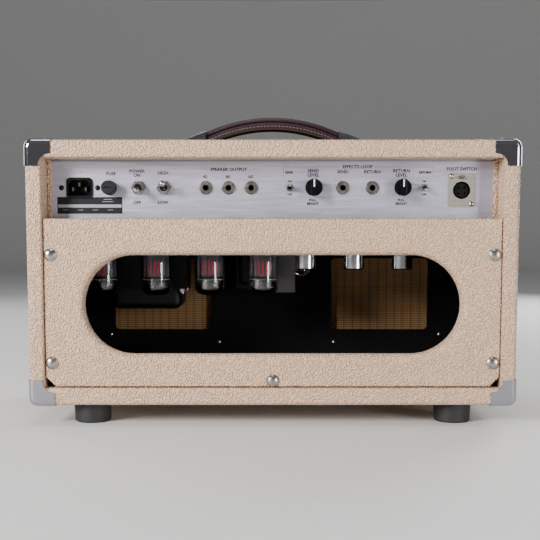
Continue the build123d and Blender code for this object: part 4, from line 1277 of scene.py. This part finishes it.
@dataclass
class Iron:
    """Transformers under the chassis."""

    def dress(self) -> None:
        """Varnish the cores and enamel the bells."""
        dress(CORE, "transformer_cores")
        dress(ENAMEL, "transformer_bells")
        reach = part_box("transformer_bells")[0].z
        channel = [box for box in solids("transformer_bells")
                   if box[1].x < 0 and box[0].x > -0.1 and box[0].z > reach][0]
        dress_part("transformer_bells", BRACKET,
                   lambda at: channel[0].x - MM < at.x < channel[1].x + 0.1 * MM
                   and channel[0].z - MM < at.z)


@dataclass
class Studio:
    """Floor, lights and camera."""

    distance: float = 1.1177
    height: float = 0.2112
    aside: float = 0.00824
    pitch: float = 5.386
    lens: float = 68.8
    shift: tuple[float, float] = (0.009, 0.1109)
    floor_radius: float = 5.0
    cove: float = 2.0

    def build(self) -> None:
        """Set the floor, the lights and the camera."""
        self.floor()
        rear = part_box("cabinet_top_board")[1].y
        aim = Vector((0, 0, 0.18))
        for name, at, size, power in (
                ("key", (1.5, 1.5, 0.85), (0.45, 0.7), 84.0),
                ("fill", (-1.7, 1.6, 0.9), (0.35, 1.0), 4.0),
                ("window", (-1.15, 1.25, 0.25), (0.36, 0.46), 13.0),
                ("overhead", (0.1, 0.1, 1.9), (1.2, 1.2), 14.0),
                ("front_key", (-1.3, -1.7, 0.9), (0.8, 1.1), 40.0),
                ("front_fill", (1.5, -1.4, 0.7), (0.5, 1.2), 14.0)):
            self.light(name, Vector(at), aim, size, power)
        world = bpy.data.worlds.new("studio_air")
        world.use_nodes = True
        back = world.node_tree.nodes["Background"]
        back.inputs["Color"].default_value = linear("#DDDEE2")
        back.inputs["Strength"].default_value = 0.24
        bpy.context.scene.world = world
        data = bpy.data.cameras.new("camera")
        data.lens = self.lens
        data.sensor_width = 36.0
        data.shift_x, data.shift_y = self.shift
        camera = bpy.data.objects.new("camera", data)
        camera.location = (self.aside, rear + self.distance, self.height)
        camera.rotation_euler = (math.radians(90 - self.pitch), 0, math.pi)
        bpy.context.scene.collection.objects.link(camera)
        bpy.context.scene.camera = camera

    def floor(self) -> None:
        """Lay a wide plain floor that sweeps up into a low cove all round."""
        bm = bmesh.new()
        sweep = arc((self.floor_radius, self.cove), self.cove, -90, 0, 24)
        lathe(bm, [(0, 0)] + sweep, Vector((0, 0, 0)), 96)
        bmesh.ops.reverse_faces(bm, faces=bm.faces)
        mesh = bpy.data.meshes.new("studio_floor")
        bm.to_mesh(mesh)
        bm.free()
        mesh.shade_smooth()
        made = bpy.data.objects.new("studio_floor", mesh)
        mesh.materials.append(FLOOR.material())
        bpy.context.scene.collection.objects.link(made)

    def light(self, name: str, at: Vector, aim: Vector, size: tuple[float, float],
              power: float) -> None:
        """Hang one soft light.

        Args:
            name: The light's name.
            at: Its place.
            aim: The point that it faces.
            size: Its width and height in metres.
            power: Its power in watts.
        """
        data = bpy.data.lights.new(name, "AREA")
        data.shape = "RECTANGLE"
        data.size, data.size_y = size
        data.energy = power
        made = bpy.data.objects.new(name, data)
        made.location = at
        made.rotation_mode = "QUATERNION"
        made.rotation_quaternion = (aim - at).to_track_quat("-Z", "Y")
        bpy.context.scene.collection.objects.link(made)


def main() -> None:
    """Build and dress every sub-assembly in order."""
    logging.basicConfig(level=logging.INFO, format="%(message)s")
    Studio().build()
    case = Case()
    case.build()
    case.dress()
    Hardware().dress()
    Handle().build()
    grille = Grille()
    grille.build()
    grille.dress()
    rear = rear_panel()
    rear.build()
    RatingLabel().build(rear)
    front_panel().build()
    controls = Controls()
    controls.build()
    controls.dress()
    valves = Valves()
    valves.build()
    valves.dress()
    Iron().dress()


if __name__ == "__main__":
    main()
